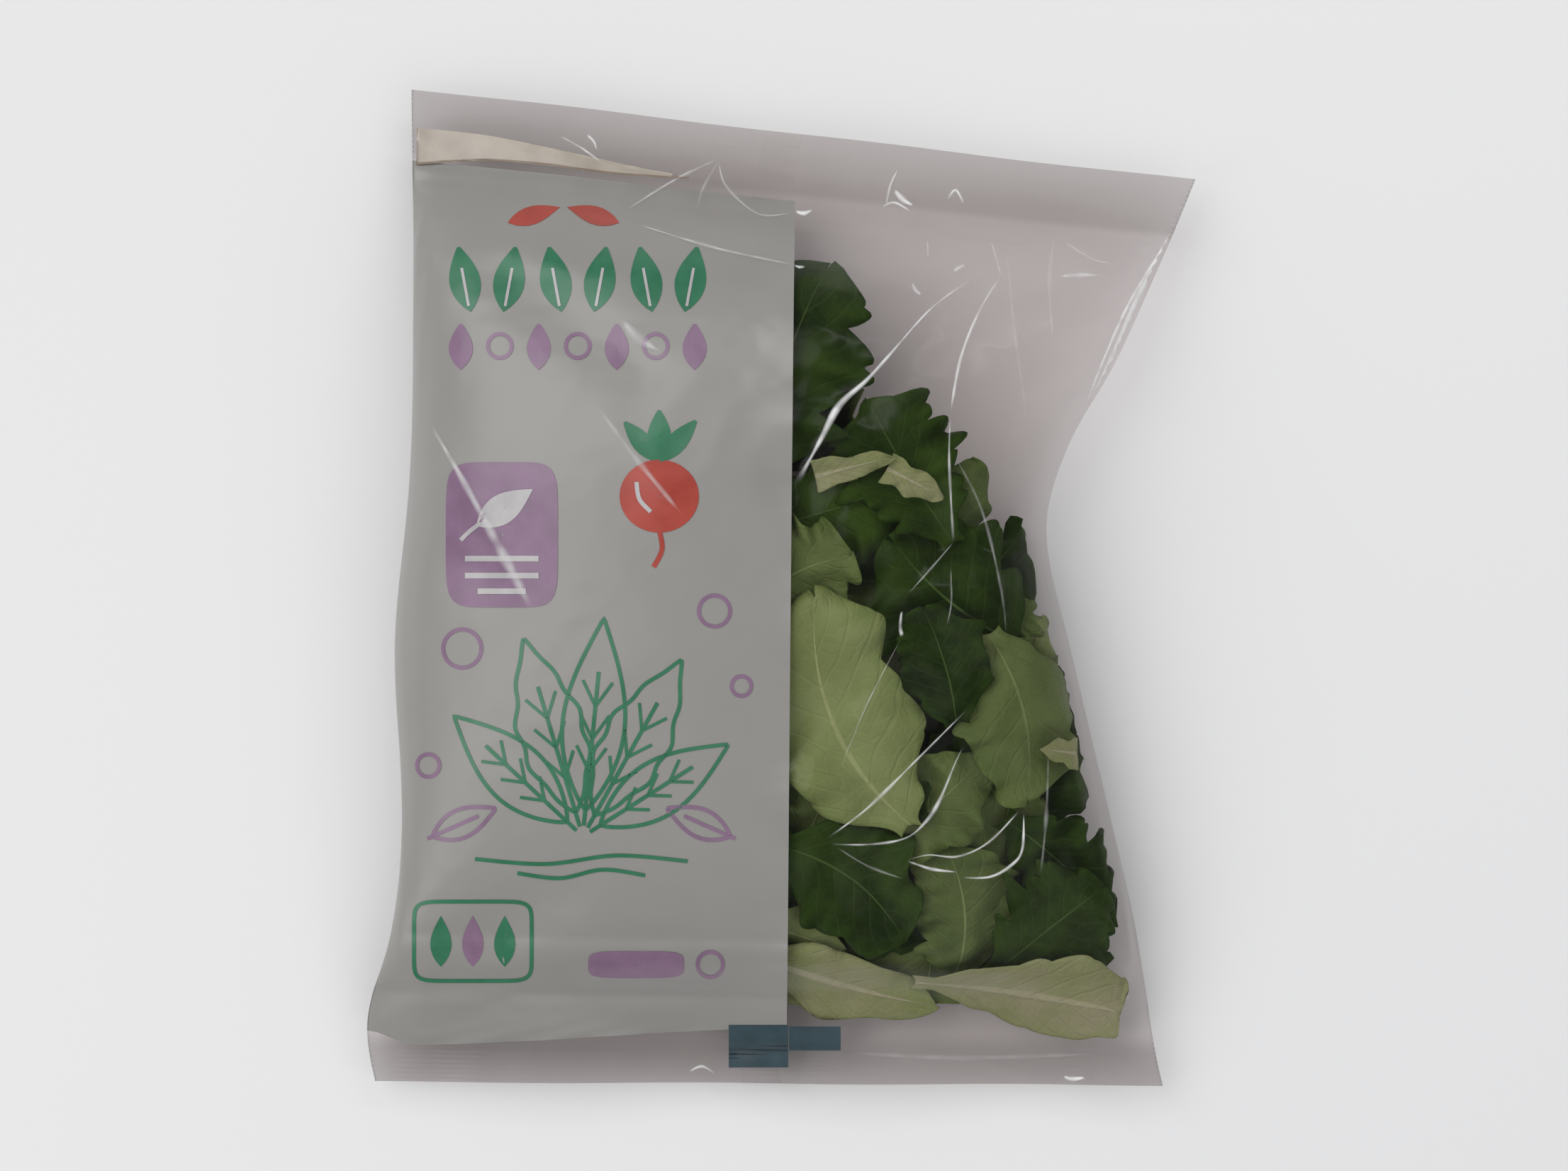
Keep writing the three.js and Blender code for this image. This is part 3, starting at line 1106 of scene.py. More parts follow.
@dataclass
class FilmSurface:
    """Heights of the film's front and back over the floor, to lay things on and in the bag."""

    tube: FilmTube
    step: float = 1.5 * MM
    room: float = 1.3 * MM

    def __post_init__(self) -> None:
        """Measures both heights on a raster, and the bag's outline in each of its rows."""
        names = ("film_clear", "film_printed")
        depsgraph = bpy.context.evaluated_depsgraph_get()
        self.trees = [BVHTree.FromObject(bpy.data.objects[name], depsgraph) for name in names]
        low, high = self.tube.points.min((0, 1)), self.tube.points.max((0, 1))
        self.low = low[:2]
        shape = tuple(int(side / self.step) + 2 for side in (high - low)[1::-1])
        self.front, self.back = np.full(shape, np.nan), np.full(shape, np.nan)
        for row, column in np.ndindex(shape):
            x, y = self.low + np.array([column, row]) * self.step
            self.front[row, column], self.back[row, column] = self.cast(x, y)
        there = ~np.isnan(self.front)
        columns, rows = np.arange(shape[1]), np.arange(shape[0])
        self.sides = [self.side_lines(there), self.side_lines(self.front - self.back > self.room)]
        full = there.any(1)
        for heights in (self.front, self.back):
            for line, has in zip(heights, there):
                if has.any():
                    line[:] = np.interp(columns, columns[has], line[has])
            for column in columns:
                heights[:, column] = np.interp(rows, rows[full], heights[full, column])
        self.roof, self.bed = round_each(self.front).min(0), round_each(self.back).max(0)

    def side_lines(self, inside: np.ndarray) -> tuple[np.ndarray, np.ndarray]:
        """Gives the left and the right end of what is inside, for each row of the raster.

        Args:
            inside: True for each point of the raster that is inside.

        Returns:
            The X of both ends, by row.
        """
        rows, columns = np.arange(inside.shape[0]), np.arange(inside.shape[1])
        full = inside.any(1)
        ends = [(columns[line].min(), columns[line].max()) for line in inside[full]]
        return tuple(
            np.interp(rows, rows[full], side) * self.step + self.low[0] for side in zip(*ends)
        )

    def cast(self, x: float, y: float) -> tuple[float, float]:
        """Measures the front's and the back's height at one point, or gives nan beside the bag.

        Args:
            x: The point's X.
            y: The point's Y.

        Returns:
            Both heights.
        """
        found = [top_and_foot(tree, x, y) for tree in self.trees]
        found = [(top.z, foot.z) for top, foot in found if top is not None]
        if not found:
            return math.nan, math.nan
        tops, feet = zip(*found)
        return max(tops), min(feet)

    def read(self, heights: np.ndarray, x: np.ndarray, y: np.ndarray) -> np.ndarray:
        """Reads a raster between its points.

        Args:
            heights: The raster.
            x: The X of each place.
            y: The Y of each place.

        Returns:
            The height at each place.
        """
        column = np.clip((x - self.low[0]) / self.step, 0, heights.shape[1] - 1.001)
        row = np.clip((y - self.low[1]) / self.step, 0, heights.shape[0] - 1.001)
        i, j = column.astype(int), row.astype(int)
        s, t = column - i, row - j
        lower = heights[j, i] * (1 - s) + heights[j, i + 1] * s
        upper = heights[j + 1, i] * (1 - s) + heights[j + 1, i + 1] * s
        return lower * (1 - t) + upper * t

    def behind(self, pixels: np.ndarray) -> np.ndarray:
        """Gives the points of the front film that lie behind pixels of the photograph.

        Args:
            pixels: The pixels.

        Returns:
            The points, with their heights.
        """
        height = np.full(pixels.shape[:-1], PHOTO.plane)
        for _ in range(4):
            place = PHOTO.seen_at(pixels, height)
            row = (place[..., 1] - self.low[1]) / self.step
            left, right = (np.interp(row, np.arange(len(side)), side) for side in self.sides[0])
            place[..., 0] = np.clip(place[..., 0], left + 0.7 * MM, right - 0.7 * MM)
            height = self.read(self.front, place[..., 0], place[..., 1])
        exact = np.array([
            self.cast(x, y)[0] for x, y in place.reshape(-1, 2)
        ]).reshape(height.shape)
        height = np.where(np.isnan(exact), height, exact)
        return np.concatenate([place, height[..., None]], -1)

    def within_sides(self, points: np.ndarray, inset: float, tail: float) -> np.ndarray:
        """Moves points to inside the bag's outline.

        Args:
            points: The points, one a row.
            inset: How far from the sides they stay.
            tail: How far over the bottom weld they stay.

        Returns:
            The points inside the outline, at the heights that they had.
        """
        made = points.copy()
        uneven = tail + 1.5 * MM * soft_noise(made[:, 0], made[:, 2], 0.03, 8)
        low = self.low[1] + self.tube.bottom_weld + uneven
        high = self.low[1] + (self.front.shape[0] - 1) * self.step - self.tube.top_weld - 20 * MM
        made[:, 1] = soft_limit(made[:, 1], low, high, 5 * MM)
        row = (made[:, 1] - self.low[1]) / self.step
        left, right = (np.interp(row, np.arange(len(side)), side) for side in self.sides[1])
        made[:, 0] = soft_limit(made[:, 0], left + inset, right - inset, 6 * MM)
        return made

    def pressed(self, points: np.ndarray, ceiling: np.ndarray, gap: float) -> np.ndarray:
        """Presses points between the back film and what lies over them.

        Args:
            points: The points, one a row.
            ceiling: A raster of the heights that they stay under.
            gap: How far under it they stay, where there is room.

        Returns:
            The points at their new heights.
        """
        made = points.copy()
        foot = self.read(self.bed, made[:, 0], made[:, 1])
        room = np.maximum(self.read(ceiling, made[:, 0], made[:, 1]) - foot, 0.3 * MM)
        top = foot + room - np.minimum(gap, 0.25 * room)
        foot = foot + np.minimum(0.8 * MM, 0.2 * MM + 0.1 * room)
        made[:, 2] = soft_limit(made[:, 2], foot, top, 2.5 * MM)
        return made


def soft_limit(value: np.ndarray, low: np.ndarray, high: np.ndarray, ease: float) -> np.ndarray:
    """Holds values between two limits, and presses them together near a limit.

    Args:
        value: The values.
        low: The lower limit, the same for all or one for each.
        high: The upper limit.
        ease: How far from a limit the pressing starts.

    Returns:
        The values between their limits.
    """
    span = np.maximum(high - low, 1e-6)
    ease = np.minimum(ease, span / 2.5)
    over = value - (high - ease)
    value = np.where(over > 0, high - ease * np.exp(-np.maximum(over, 0) / ease), value)
    under = (low + ease) - value
    return np.where(under > 0, low + ease * np.exp(-np.maximum(under, 0) / ease), value)


@dataclass
class CreaseGlints:
    """The painted lines of light on the film's folds, each a thin white ridge that is brighter than the film.
    """

    surface: FilmSurface
    creases: Sequence[Crease]
    step_px: float = 4.0
    height: float = 0.3 * MM
    lift: float = 0.36 * MM

    def ridge(self, crease: Crease, seed: int) -> bpy.types.Object:
        """Models one ridge on the front film, with the strength of its painted highlight as a glint value at
        each of its points.

        Args:
            crease: The fold that it lies on.
            seed: Chooses how it flickers.

        Returns:
            The ridge.
        """
        line = evenly(crease.line(), self.step_px)
        side = sideways(line)
        place = np.linspace(0, 1, len(line))
        swell = np.interp(place, np.linspace(0, 1, len(crease.swell)), crease.swell)
        flicker = soft_noise(place * len(line), place * 0, 7.0, seed)
        across = np.array([-1.0, -0.45, 0.0, 0.45, 1.0])
        half = crease.band / 2 * swell * (1 + 0.25 * flicker)
        pixels = line[:, None] + side[:, None] * (across[:, None] * half[:, None, None])
        points = self.surface.behind(pixels)
        points[..., 2] += (1 - np.abs(across)) * self.height + self.lift
        piece = grid_piece("ridge", points.transpose(1, 0, 2))
        # painted highlight: strongest along the crest, fading towards the ends and sides
        ends = smooth(np.minimum(place, 1 - place) * 7)
        strength = crease.glint * ends * (0.8 + 0.3 * soft_noise(place * len(line), place * 0, 4.0, seed + 9))
        profile = (1 - np.abs(across)) ** 0.6
        give_values(piece, "glint", (profile[:, None] * np.clip(strength, 0, 1)))
        return piece

    def build(self, material: bpy.types.Material) -> None:
        """Makes all the painted highlight ridges as one piece.

        Args:
            material: Their material.
        """
        shown = [crease for crease in self.creases if crease.glint > 0]
        whole = joined("film_crease_glints", [self.ridge(crease, 40 + i) for i, crease in enumerate(shown)])
        dress(whole, material)


class Ink(Enum):
    """The print's inks, by linear colour, and the colours of the fold over the panel's head, whose brown is
    painted shade.
    """

    GREEN = (0.018, 0.15, 0.07, 1.0)
    PURPLE = (0.208, 0.12, 0.195, 1.0)
    RED = (0.35, 0.038, 0.021, 1.0)
    PALE = (0.42, 0.40, 0.40, 1.0)
    DARK = (0.022, 0.05, 0.062, 1.0)
    TAN = (0.4, 0.35, 0.29, 1.0)
    # painted shade: the dark line along the lower edge of the fold over the panel's head
    BROWN = (0.22, 0.165, 0.12, 1.0)

    def material(self) -> bpy.types.Material:
        """Makes the ink's material: gloss ink with a faint screen of thinner and thicker colour.

        Returns:
            The new material.
        """
        made, nodes = new_material(f"ink_{self.name.lower()}")
        place = nodes.add("TexCoord").outputs["Object"]
        cloud = nodes.ramp(nodes.noise(place, 160.0, 4.0), 0.25, 0.75)
        shade = nodes.mix(cloud, self.value, scaled(self.value, 1.18, 0.004))
        rough = nodes.math("MULTIPLY_ADD", cloud, 0.1, 0.3)
        ink = nodes.add("BsdfPrincipled", {"Base Color": shade, "Roughness": rough})
        ink.inputs["Coat Weight"].default_value = PRINT_COAT
        ink.inputs["Coat Roughness"].default_value = PRINT_COAT
        nodes.surface(ink.outputs[0])
        return made


@dataclass
class Print:
    """The print: plain leaves, roots, rings and bars, in pixels of the photograph."""

    surface: FilmSurface
    lift: float = 0.16 * MM
    line_px: float = 5.5
    step_px: float = 5.0

    def __post_init__(self) -> None:
        """Starts with no shapes."""
        self.shapes: dict[Ink, list] = {ink: [] for ink in Ink}

    def lay(self, ink: Ink, pixels: np.ndarray, layer: int = 1) -> None:
        """Lays a sheet of ink, given by row and column of its pixels, on the front film.

        Args:
            ink: Its colour.
            pixels: The pixels.
            layer: How many layers of ink it tops.
        """
        points = self.surface.behind(pixels)
        points[..., 2] += self.lift * layer
        piece = grid_piece("ink", points)
        deselect_all()
        piece.select_set(True)
        bpy.ops.object.mode_set(mode="EDIT")
        bpy.ops.mesh.select_all(action="SELECT")
        bpy.ops.mesh.remove_doubles(threshold=0.01 * MM)
        bpy.ops.mesh.normals_make_consistent(inside=False)
        bpy.ops.object.mode_set(mode="OBJECT")
        self.shapes[ink].append(piece)

    def stroke(
        self, ink: Ink, points: Sequence[Point], width: float = 0.0, closed: bool = False, layer: int = 1,
    ) -> None:
        """Draws a line of even width.

        Args:
            ink: Its colour.
            points: The line's points.
            width: Its width, or 0 for the usual one.
            closed: True if its last point is its first.
            layer: 2 for a line on top of another shape.
        """
        line = evenly(np.array(points, float), self.step_px)
        offset = sideways(line, closed) * (width or self.line_px) / 2
        self.lay(ink, np.stack([line + offset, line, line - offset]), layer)

    def fill(self, ink: Ink, outline: Outline, centre: Point, size: float, layer: int = 1) -> None:
        """Fills an outline round a centre.

        Args:
            ink: Its colour.
            outline: Gives the outline's points at shares of its length from 0 to 1.
            centre: The point to which it shrinks.
            size: About how wide it is.
            layer: 2 for a shape on top of another.
        """
        rings = max(3, int(size / 2 / 7))
        turns = max(16, int(math.pi * size / 8))
        edge = outline(np.linspace(0, 1, turns + 1))
        share = np.linspace(0.02, 1, rings)[:, None, None]
        middle = np.array(centre, float)
        self.lay(ink, middle + (edge[None] - middle) * share, layer)

    @staticmethod
    def disc_line(centre: Point, half: Point, power: float = 2.0) -> Outline:
        """Gives the outline of a disc, or of a plate with round corners.

        Args:
            centre: Its centre.
            half: Half its width and half its height.
            power: How square it is, from 2 for an ellipse.

        Returns:
            The outline.
        """
        def outline(share: np.ndarray) -> np.ndarray:
            """Gives the points at shares of a whole turn."""
            angle = share * 2 * math.pi
            turned = np.stack([np.cos(angle), np.sin(angle)], 1)
            reach = (np.abs(turned) ** power).sum(1, keepdims=True) ** (-1 / power)
            return np.array(centre) + turned * reach * half
        return outline

    @staticmethod
    def leaf_line(base: Point, tip: Point, width: float, wave: float = 0.0) -> Outline:
        """Gives a leaf's outline from its base round its tip and back, with a wavy edge if asked.

        Args:
            base: The end at its stalk.
            tip: Its other end.
            width: Its width.
            wave: How wavy its edge is, as a share of its width.

        Returns:
            The outline.
        """
        start, end = np.array(base, float), np.array(tip, float)
        way = end - start
        side = np.array([-way[1], way[0]]) / np.hypot(*way)

        def outline(share: np.ndarray) -> np.ndarray:
            """Gives the leaf's points."""
            along = 1 - np.abs(2 * share - 1)
            half = np.sin(np.pi * along**0.85) * width / 2
            half *= 1 + wave * np.sin(along * 26)
            sign = np.where(share < 0.5, 1.0, -1.0)
            return start + along[:, None] * way + (half * sign)[:, None] * side
        return outline

    def outlined_leaf(
        self, ink: Ink, base: Point, tip: Point, width: float, wave: float = 0.0, veins: int = 3,
    ) -> None:
        """Draws a leaf as a line, with its rib and a few veins.

        Args:
            ink: Its colour.
            base: The end at its stalk.
            tip: Its other end.
            width: Its width.
            wave: How wavy its edge is, as a share of its width.
            veins: How many veins it has on each side.
        """
        outline = self.leaf_line(base, tip, width, wave)
        self.stroke(ink, outline(np.linspace(0, 1, 81)))
        start, way = np.array(base, float), np.array(tip, float) - base
        self.stroke(ink, [start - way * 0.08, start + way * 0.72])
        side = np.array([-way[1], way[0]]) / np.hypot(*way)
        for vein in range(veins):
            root = start + way * (0.2 + 0.17 * vein)
            for hand in (1, -1):
                self.stroke(ink, [root, root + way * 0.13 + side * hand * width * 0.24], self.line_px * 0.8)

    def filled_leaf(self, ink: Ink, base: Point, tip: Point, width: float, layer: int = 1) -> None:
        """Draws a solid leaf."""
        middle = ((base[0] + tip[0]) / 2, (base[1] + tip[1]) / 2)
        self.fill(ink, self.leaf_line(base, tip, width), middle, width * 1.6, layer)

    def ring(self, ink: Ink, centre: Point, radius: float) -> None:
        """Draws a ring."""
        outline = self.disc_line(centre, (radius, radius))
        self.stroke(ink, outline(np.linspace(0, 1, 61)), closed=True)

    def borders(self) -> None:
        """Draws the two rows of shapes at the panel's head."""
        for index in range(6):
            x = 655 + index * 64
            lean = 9 if index % 2 else -9
            self.filled_leaf(Ink.GREEN, (x - lean, 440), (x + lean, 345), 44)
            self.stroke(Ink.PALE, [(x - lean * 0.7, 432), (x + lean * 0.4, 378)], 4.0, layer=2)
        for index in range(7):
            x = 650 + index * 55
            if index % 2:
                self.ring(Ink.PURPLE, (x, 488), 17)
            else:
                self.filled_leaf(Ink.PURPLE, (x, 522), (x, 454), 34)
        self.filled_leaf(Ink.RED, (716, 314), (790, 292), 26)
        self.filled_leaf(Ink.RED, (874, 314), (800, 292), 26)

    def badge(self) -> None:
        """Draws the purple plate with its pale sprig and bars."""
        self.fill(Ink.PURPLE, self.disc_line((708, 754.5), (79, 102.5), 6.0), (708, 754), 180)
        for y, half in ((788, 52), (812, 52), (834, 34)):
            self.stroke(Ink.PALE, [(708 - half, y), (708 + half, y)], 8.0, layer=2)
        self.filled_leaf(Ink.PALE, (672, 742), (752, 690), 42, layer=2)
        self.stroke(Ink.PALE, spline(((650, 762), (662, 750), (678, 738))), 6.0, layer=2)

    def root(self) -> None:
        """Draws the red root with its green leaves."""
        self.fill(Ink.RED, self.disc_line((930, 700), (56, 51.52)), (930, 700), 112)
        self.stroke(Ink.RED, spline(((930, 748), (934, 775), (922, 800))), 7.0)
        for tip, width in (((930, 575), 34), ((878, 592), 28), ((985, 590), 28)):
            self.filled_leaf(Ink.GREEN, (930, 652), tip, width)
        self.stroke(Ink.PALE, spline(((898, 680), (902, 704), (918, 722))), 6.0, layer=2)

    def bunch(self) -> None:
        """Draws the bunch of leaves and the rings round it."""
        foot = np.array((822.0, 1180.0))
        for tip, width, wave in (
            ((640, 1010), 84, 0.0), ((738, 900), 92, 0.08), ((852, 872), 88, 0.0),
            ((962, 930), 92, 0.08), ((1028, 1050), 78, 0.0),
        ):
            self.outlined_leaf(Ink.GREEN, foot + (tip - foot) * 0.12, tip, width, wave)
        for centre, radius in (((652, 915), 27), ((1008, 862), 22), ((604, 1080), 16), ((1046, 968), 14)):
            self.ring(Ink.PURPLE, centre, radius)
        for base, tip, width in (((610, 1180), (700, 1140), 40), ((1030, 1180), (940, 1140), 40)):
            self.outlined_leaf(Ink.PURPLE, base, tip, width, veins=0)
        for y, half in ((1212, 150), (1232, 90)):
            places = ((-half, 0), (-half / 3, 7), (half / 3, -5), (half, 3))
            self.stroke(Ink.GREEN, spline([(820 + x, y + drop) for x, drop in places]))

    def foot(self) -> None:
        """Draws the small frame and the bar at the panel's foot."""
        outline = self.disc_line((667, 1328), (83, 56), 8.0)
        self.stroke(Ink.GREEN, outline(np.linspace(0, 1, 121)), closed=True)
        for index, ink in enumerate((Ink.GREEN, Ink.PURPLE, Ink.GREEN)):
            self.filled_leaf(ink, (622 + index * 45, 1364), (622 + index * 45, 1292), 30)
        self.fill(Ink.PURPLE, self.disc_line((897.5, 1361), (67.5, 19), 5.0), (897, 1361), 80)
        self.ring(Ink.PURPLE, (1002, 1361), 18)

    def fold(self) -> None:
        """Draws a tan strip where the film folds over the panel's head, with a brown line of painted shade
        along the fold's lower edge.
        """
        upper = spline(((576, 180), (680, 190), (800, 214), (900, 236), (972, 249)))
        lower = spline(((576, 232), (680, 226), (770, 232), (860, 244), (972, 252)))
        self.lay(Ink.TAN, np.linspace(evenly(upper, 8.0)[:48], evenly(lower, 8.0)[:48], 6), layer=3)
        # painted shade along the fold's lower edge
        self.stroke(Ink.BROWN, lower, 3.0, layer=4)

    def eye_mark(self) -> None:
        """Draws the dark mark on the bottom seal that the packing machine reads."""
        for left, right, head, foot in ((1028, 1112, 1446, 1506), (1113, 1186, 1448, 1482)):
            x, y = np.meshgrid(np.linspace(left, right, 15), np.linspace(head, foot, 12))
            self.lay(Ink.DARK, np.stack([x, y], -1))

    def build(self) -> None:
        """Draws everything and joins the shapes of each ink."""
        for draw in (self.borders, self.badge, self.root, self.bunch, self.foot, self.fold, self.eye_mark):
            draw()
        for ink, pieces in self.shapes.items():
            dress(joined(f"print_{ink.name.lower()}", pieces), ink.material())


class LeafKind(Enum):
    """The kinds of leaf in the mix."""

    DARK = "dark"
    MID = "mid"
    PALE = "pale"
    CREAM = "cream"


@dataclass(frozen=True)
class LeafShape:
    """The form of one leaf."""

    length: float = 80 * MM
    width: float = 50 * MM
    widest: float = 0.62
    roundness: float = 0.75
    rib: float = 7 * MM
    lobes: float = 4.0
    lobe_depth: float = 0.1
    scallop: float = 0.13
    frill: float = 5 * MM
    waves: float = 6.0
    bend: float = 0.13
    columns: int = 21
    rows: int = 61

    def points(self, seed: int) -> np.ndarray:
        """Works out the leaf, flat on its back with its stalk at the origin.

        Args:
            seed: Chooses the lobes and waves of this leaf.

        Returns:
            Its points by row, from stalk to tip, and column, across the leaf.
        """
        draw = np.random.default_rng(seed)
        s, t = np.meshgrid(np.linspace(-1, 1, self.columns), np.linspace(0, 1, self.rows))
        side = np.where(s < 0, 0, 1)
        rim = np.abs(s)
        power = math.log(0.5) / math.log(self.widest)
        blade = np.sin(np.pi * np.clip(t, 1e-4, 0.9999) ** power) ** self.roundness
        half = np.maximum(self.width / 2 * blade, self.rib / 2 * (1 - t) ** 0.5 * (t < 0.5))
        half = np.where(t < 0.12, self.rib / 2 + (half - self.rib / 2) * smooth(t / 0.12), half)
        phase = draw.uniform(0, 2 * math.pi, (6, 2))
        beat = 2 * math.pi * t
        lobe = np.sin(self.lobes * beat + phase[0, side])
        lobe += 0.4 * np.sin(self.lobes * 1.7 * beat + phase[1, side])
        scallop = np.abs(np.sin(self.lobes * 1.3 * beat + phase[2, side])) ** 0.6
        grown = smooth(t / 0.3)
        half = half * (1 + grown * rim**2 * (self.lobe_depth * lobe + self.scallop * (scallop - 0.6)))
        wave = np.sin(self.waves * beat + phase[3, side])
        wave += 0.6 * np.sin(self.waves * 1.9 * beat + phase[4, side])
        turn = np.cos(self.waves * beat + phase[3, side])
        lift = self.frill * rim**2.2 * wave * grown
        bend = draw.uniform(-self.bend, self.bend) * self.length * 4 * t * (1 - t)
        x = s * half + 0.25 * self.frill * rim**3 * turn * np.sign(s) * grown + bend
        y = self.length * (t + 0.012 * rim**3 * turn * grown) + 0.1 * self.width * (rim**2) * (t - 0.5)
        bulge = soft_noise(x + seed, y, 7 * MM, seed)
        lift += 1.1 * MM * bulge * (1 - rim**4)
        lift += 3 * MM * soft_noise(x + 2 * seed, y, 26 * MM, seed + 1)
        lift -= self.rib * 0.25 * np.exp(-(s * half / (self.rib * 0.5)) ** 2) * (1 - t)
        return np.stack([x, y, lift], -1)


@dataclass(frozen=True)
class PlacedLeaf:
    """A leaf that shows through the clear film.

    Its ends are in pixels of the photograph, its width and its depth under the film in millimetres.
    """

    kind: LeafKind
    stalk: Point
    tip: Point
    width: float
    depth: float
    tone: float
    shape: LeafShape


@dataclass
class LeafHeap:
    """The leaves in the bag, in one piece for each kind."""

    surface: FilmSurface
    placed: Sequence[PlacedLeaf]
    fillers: int = 70
    loose_px: tuple[Point, Point] = ((560, 1600), (500, 1400))
    heap_inset_px: float = 55
    thickness: float = 0.35 * MM
    film_gap: float = 0.5 * MM
    flattened: float = 0.7
    placed_gap: float = 0.4 * MM
    loose_gap: float = 0.5 * MM
    placed_margins: Point = (1.3 * MM, 4 * MM)
    loose_margins: Point = (2.5 * MM, 12 * MM)
    kind_shares: tuple[float, ...] = (0.5, 0.32, 0.12, 0.06)
    heap_px: tuple[Point, ...] = (
        (1235, 560), (1290, 640), (1350, 660), (1385, 790), (1520, 1030), (1550, 1310), (1600, 1475),
    )

    def __post_init__(self) -> None:
        """Starts with the film as the ceiling over the leaves."""
        self.ceiling = self.surface.roof.copy()

    def leaf(self, points: np.ndarray, tone: float) -> bpy.types.Object:
        """Models one leaf and gives it its tone.

        Args:
            points: Its points by row and column.
            tone: How deep its colour is, from 0 to 1.

        Returns:
            The leaf.
        """
        piece = grid_piece("leaf", points)
        give_values(piece, "tone", np.full(len(piece.data.vertices), tone))
        return piece

    def under_film(self, leaf: PlacedLeaf, seed: int) -> np.ndarray:
        """Lays a placed leaf against the front film from inside.

        Args:
            leaf: The leaf and its place.
            seed: Chooses the leaf's own form.

        Returns:
            Its points by row and column.
        """
        ends = self.surface.behind(np.array([leaf.stalk, leaf.tip], float))[:, :2]
        way = ends[1] - ends[0]
        long = float(np.hypot(*way))
        points = replace(leaf.shape, length=long, width=leaf.width * MM).points(seed)
        along, across = way / long, np.array([way[1], -way[0]]) / long
        flat = points[..., :1] * across + points[..., 1:2] * along + ends[0]
        heights = self.surface.read(self.surface.front, flat[..., 0], flat[..., 1])
        made = heights - self.film_gap - leaf.depth * MM + self.flattened * points[..., 2]
        return np.concatenate([flat, made[..., None]], -1)

    def loose(self, draw: np.random.Generator, seed: int) -> np.ndarray:
        """Works out a leaf that lies anyhow in the heap.

        Args:
            draw: The heap's random numbers.
            seed: Chooses the leaf's own form.

        Returns:
            Its points by row and column.
        """
        shape = LeafShape(
            length=draw.uniform(52, 86) * MM, width=draw.uniform(30, 52) * MM,
            widest=draw.uniform(0.52, 0.68), lobes=draw.uniform(3, 5), frill=draw.uniform(3.5, 6.5) * MM,
            waves=draw.uniform(4, 7), columns=15, rows=41,
        )
        points = shape.points(seed).reshape(-1, 3) - [0, shape.length / 2, 0]
        tilt, roll = draw.normal(0, 0.45), draw.normal(0, 0.5)
        yaw = draw.uniform(0, 2 * math.pi)
        turned = np.array(Euler((tilt, roll, yaw)).to_matrix()) @ points.T
        line = np.array(self.heap_px)
        while True:
            pixel = np.array([draw.uniform(*self.loose_px[0]), draw.uniform(*self.loose_px[1])])
            edge = np.interp(pixel[1], line[:, 1], line[:, 0]) - self.heap_inset_px
            if pixel[1] > line[0, 1] and pixel[0] < edge:
                break
        spot = PHOTO.seen_at(pixel, PHOTO.plane)
        height = draw.uniform(0.15, 0.85)
        top = self.surface.read(self.surface.front, spot[:1], spot[1:])[0]
        foot = self.surface.read(self.surface.back, spot[:1], spot[1:])[0]
        made = turned.T + [*spot, foot + (top - foot) * height]
        return made.reshape(shape.rows, shape.columns, 3)

    def tucked(self, points: np.ndarray, gap: float, inset: float, tail: float) -> np.ndarray:
        """Lays a leaf under the film and under the leaves that lie over it already.

        Args:
            points: The leaf's points by row and column.
            gap: How far under them it stays.
            inset: How far from the bag's sides it stays.
            tail: How far over the bottom weld it stays.

        Returns:
            Its points in their final places.
        """
        made = self.surface.within_sides(points.reshape(-1, 3), inset, tail)
        made = self.surface.pressed(made, spread_low(self.ceiling), gap)
        at = np.rint((made[:, :2] - self.surface.low) / self.surface.step).astype(int)
        for down, right in NEIGHBOURS:
            column = np.clip(at[:, 0] + right, 0, self.ceiling.shape[1] - 1)
            row = np.clip(at[:, 1] + down, 0, self.ceiling.shape[0] - 1)
            np.minimum.at(self.ceiling, (row, column), made[:, 2] - self.thickness)
        return made.reshape(points.shape)

    def build(self, finishes: dict[LeafKind, bpy.types.Material]) -> None:
        """Makes every leaf and joins those of a kind.

        Args:
            finishes: The material of each kind.
        """
        sorted_pieces: dict[LeafKind, list] = {kind: [] for kind in LeafKind}
        draw = np.random.default_rng(11)
        for seed, leaf in sorted(enumerate(self.placed, 1), key=lambda one: one[1].depth):
            points = self.tucked(self.under_film(leaf, seed), self.placed_gap, *self.placed_margins)
            sorted_pieces[leaf.kind].append(self.leaf(points, leaf.tone))
        kinds = list(LeafKind)
        loose = []
        for index in range(self.fillers):
            kind = kinds[int(draw.choice(len(kinds), p=self.kind_shares))]
            loose.append((self.loose(draw, 500 + index), kind, float(draw.uniform(0.3, 1))))
        for points, kind, tone in sorted(loose, key=lambda one: -one[0][..., 2].mean()):
            points = self.tucked(points, self.loose_gap, *self.loose_margins)
            sorted_pieces[kind].append(self.leaf(points, tone))
        for kind, pieces in sorted_pieces.items():
            whole = joined(f"leaves_{kind.value}", pieces)
            apply_modifier(whole, "thickness", "SOLIDIFY", thickness=self.thickness, offset=0.0)
            dress(whole, finishes[kind])


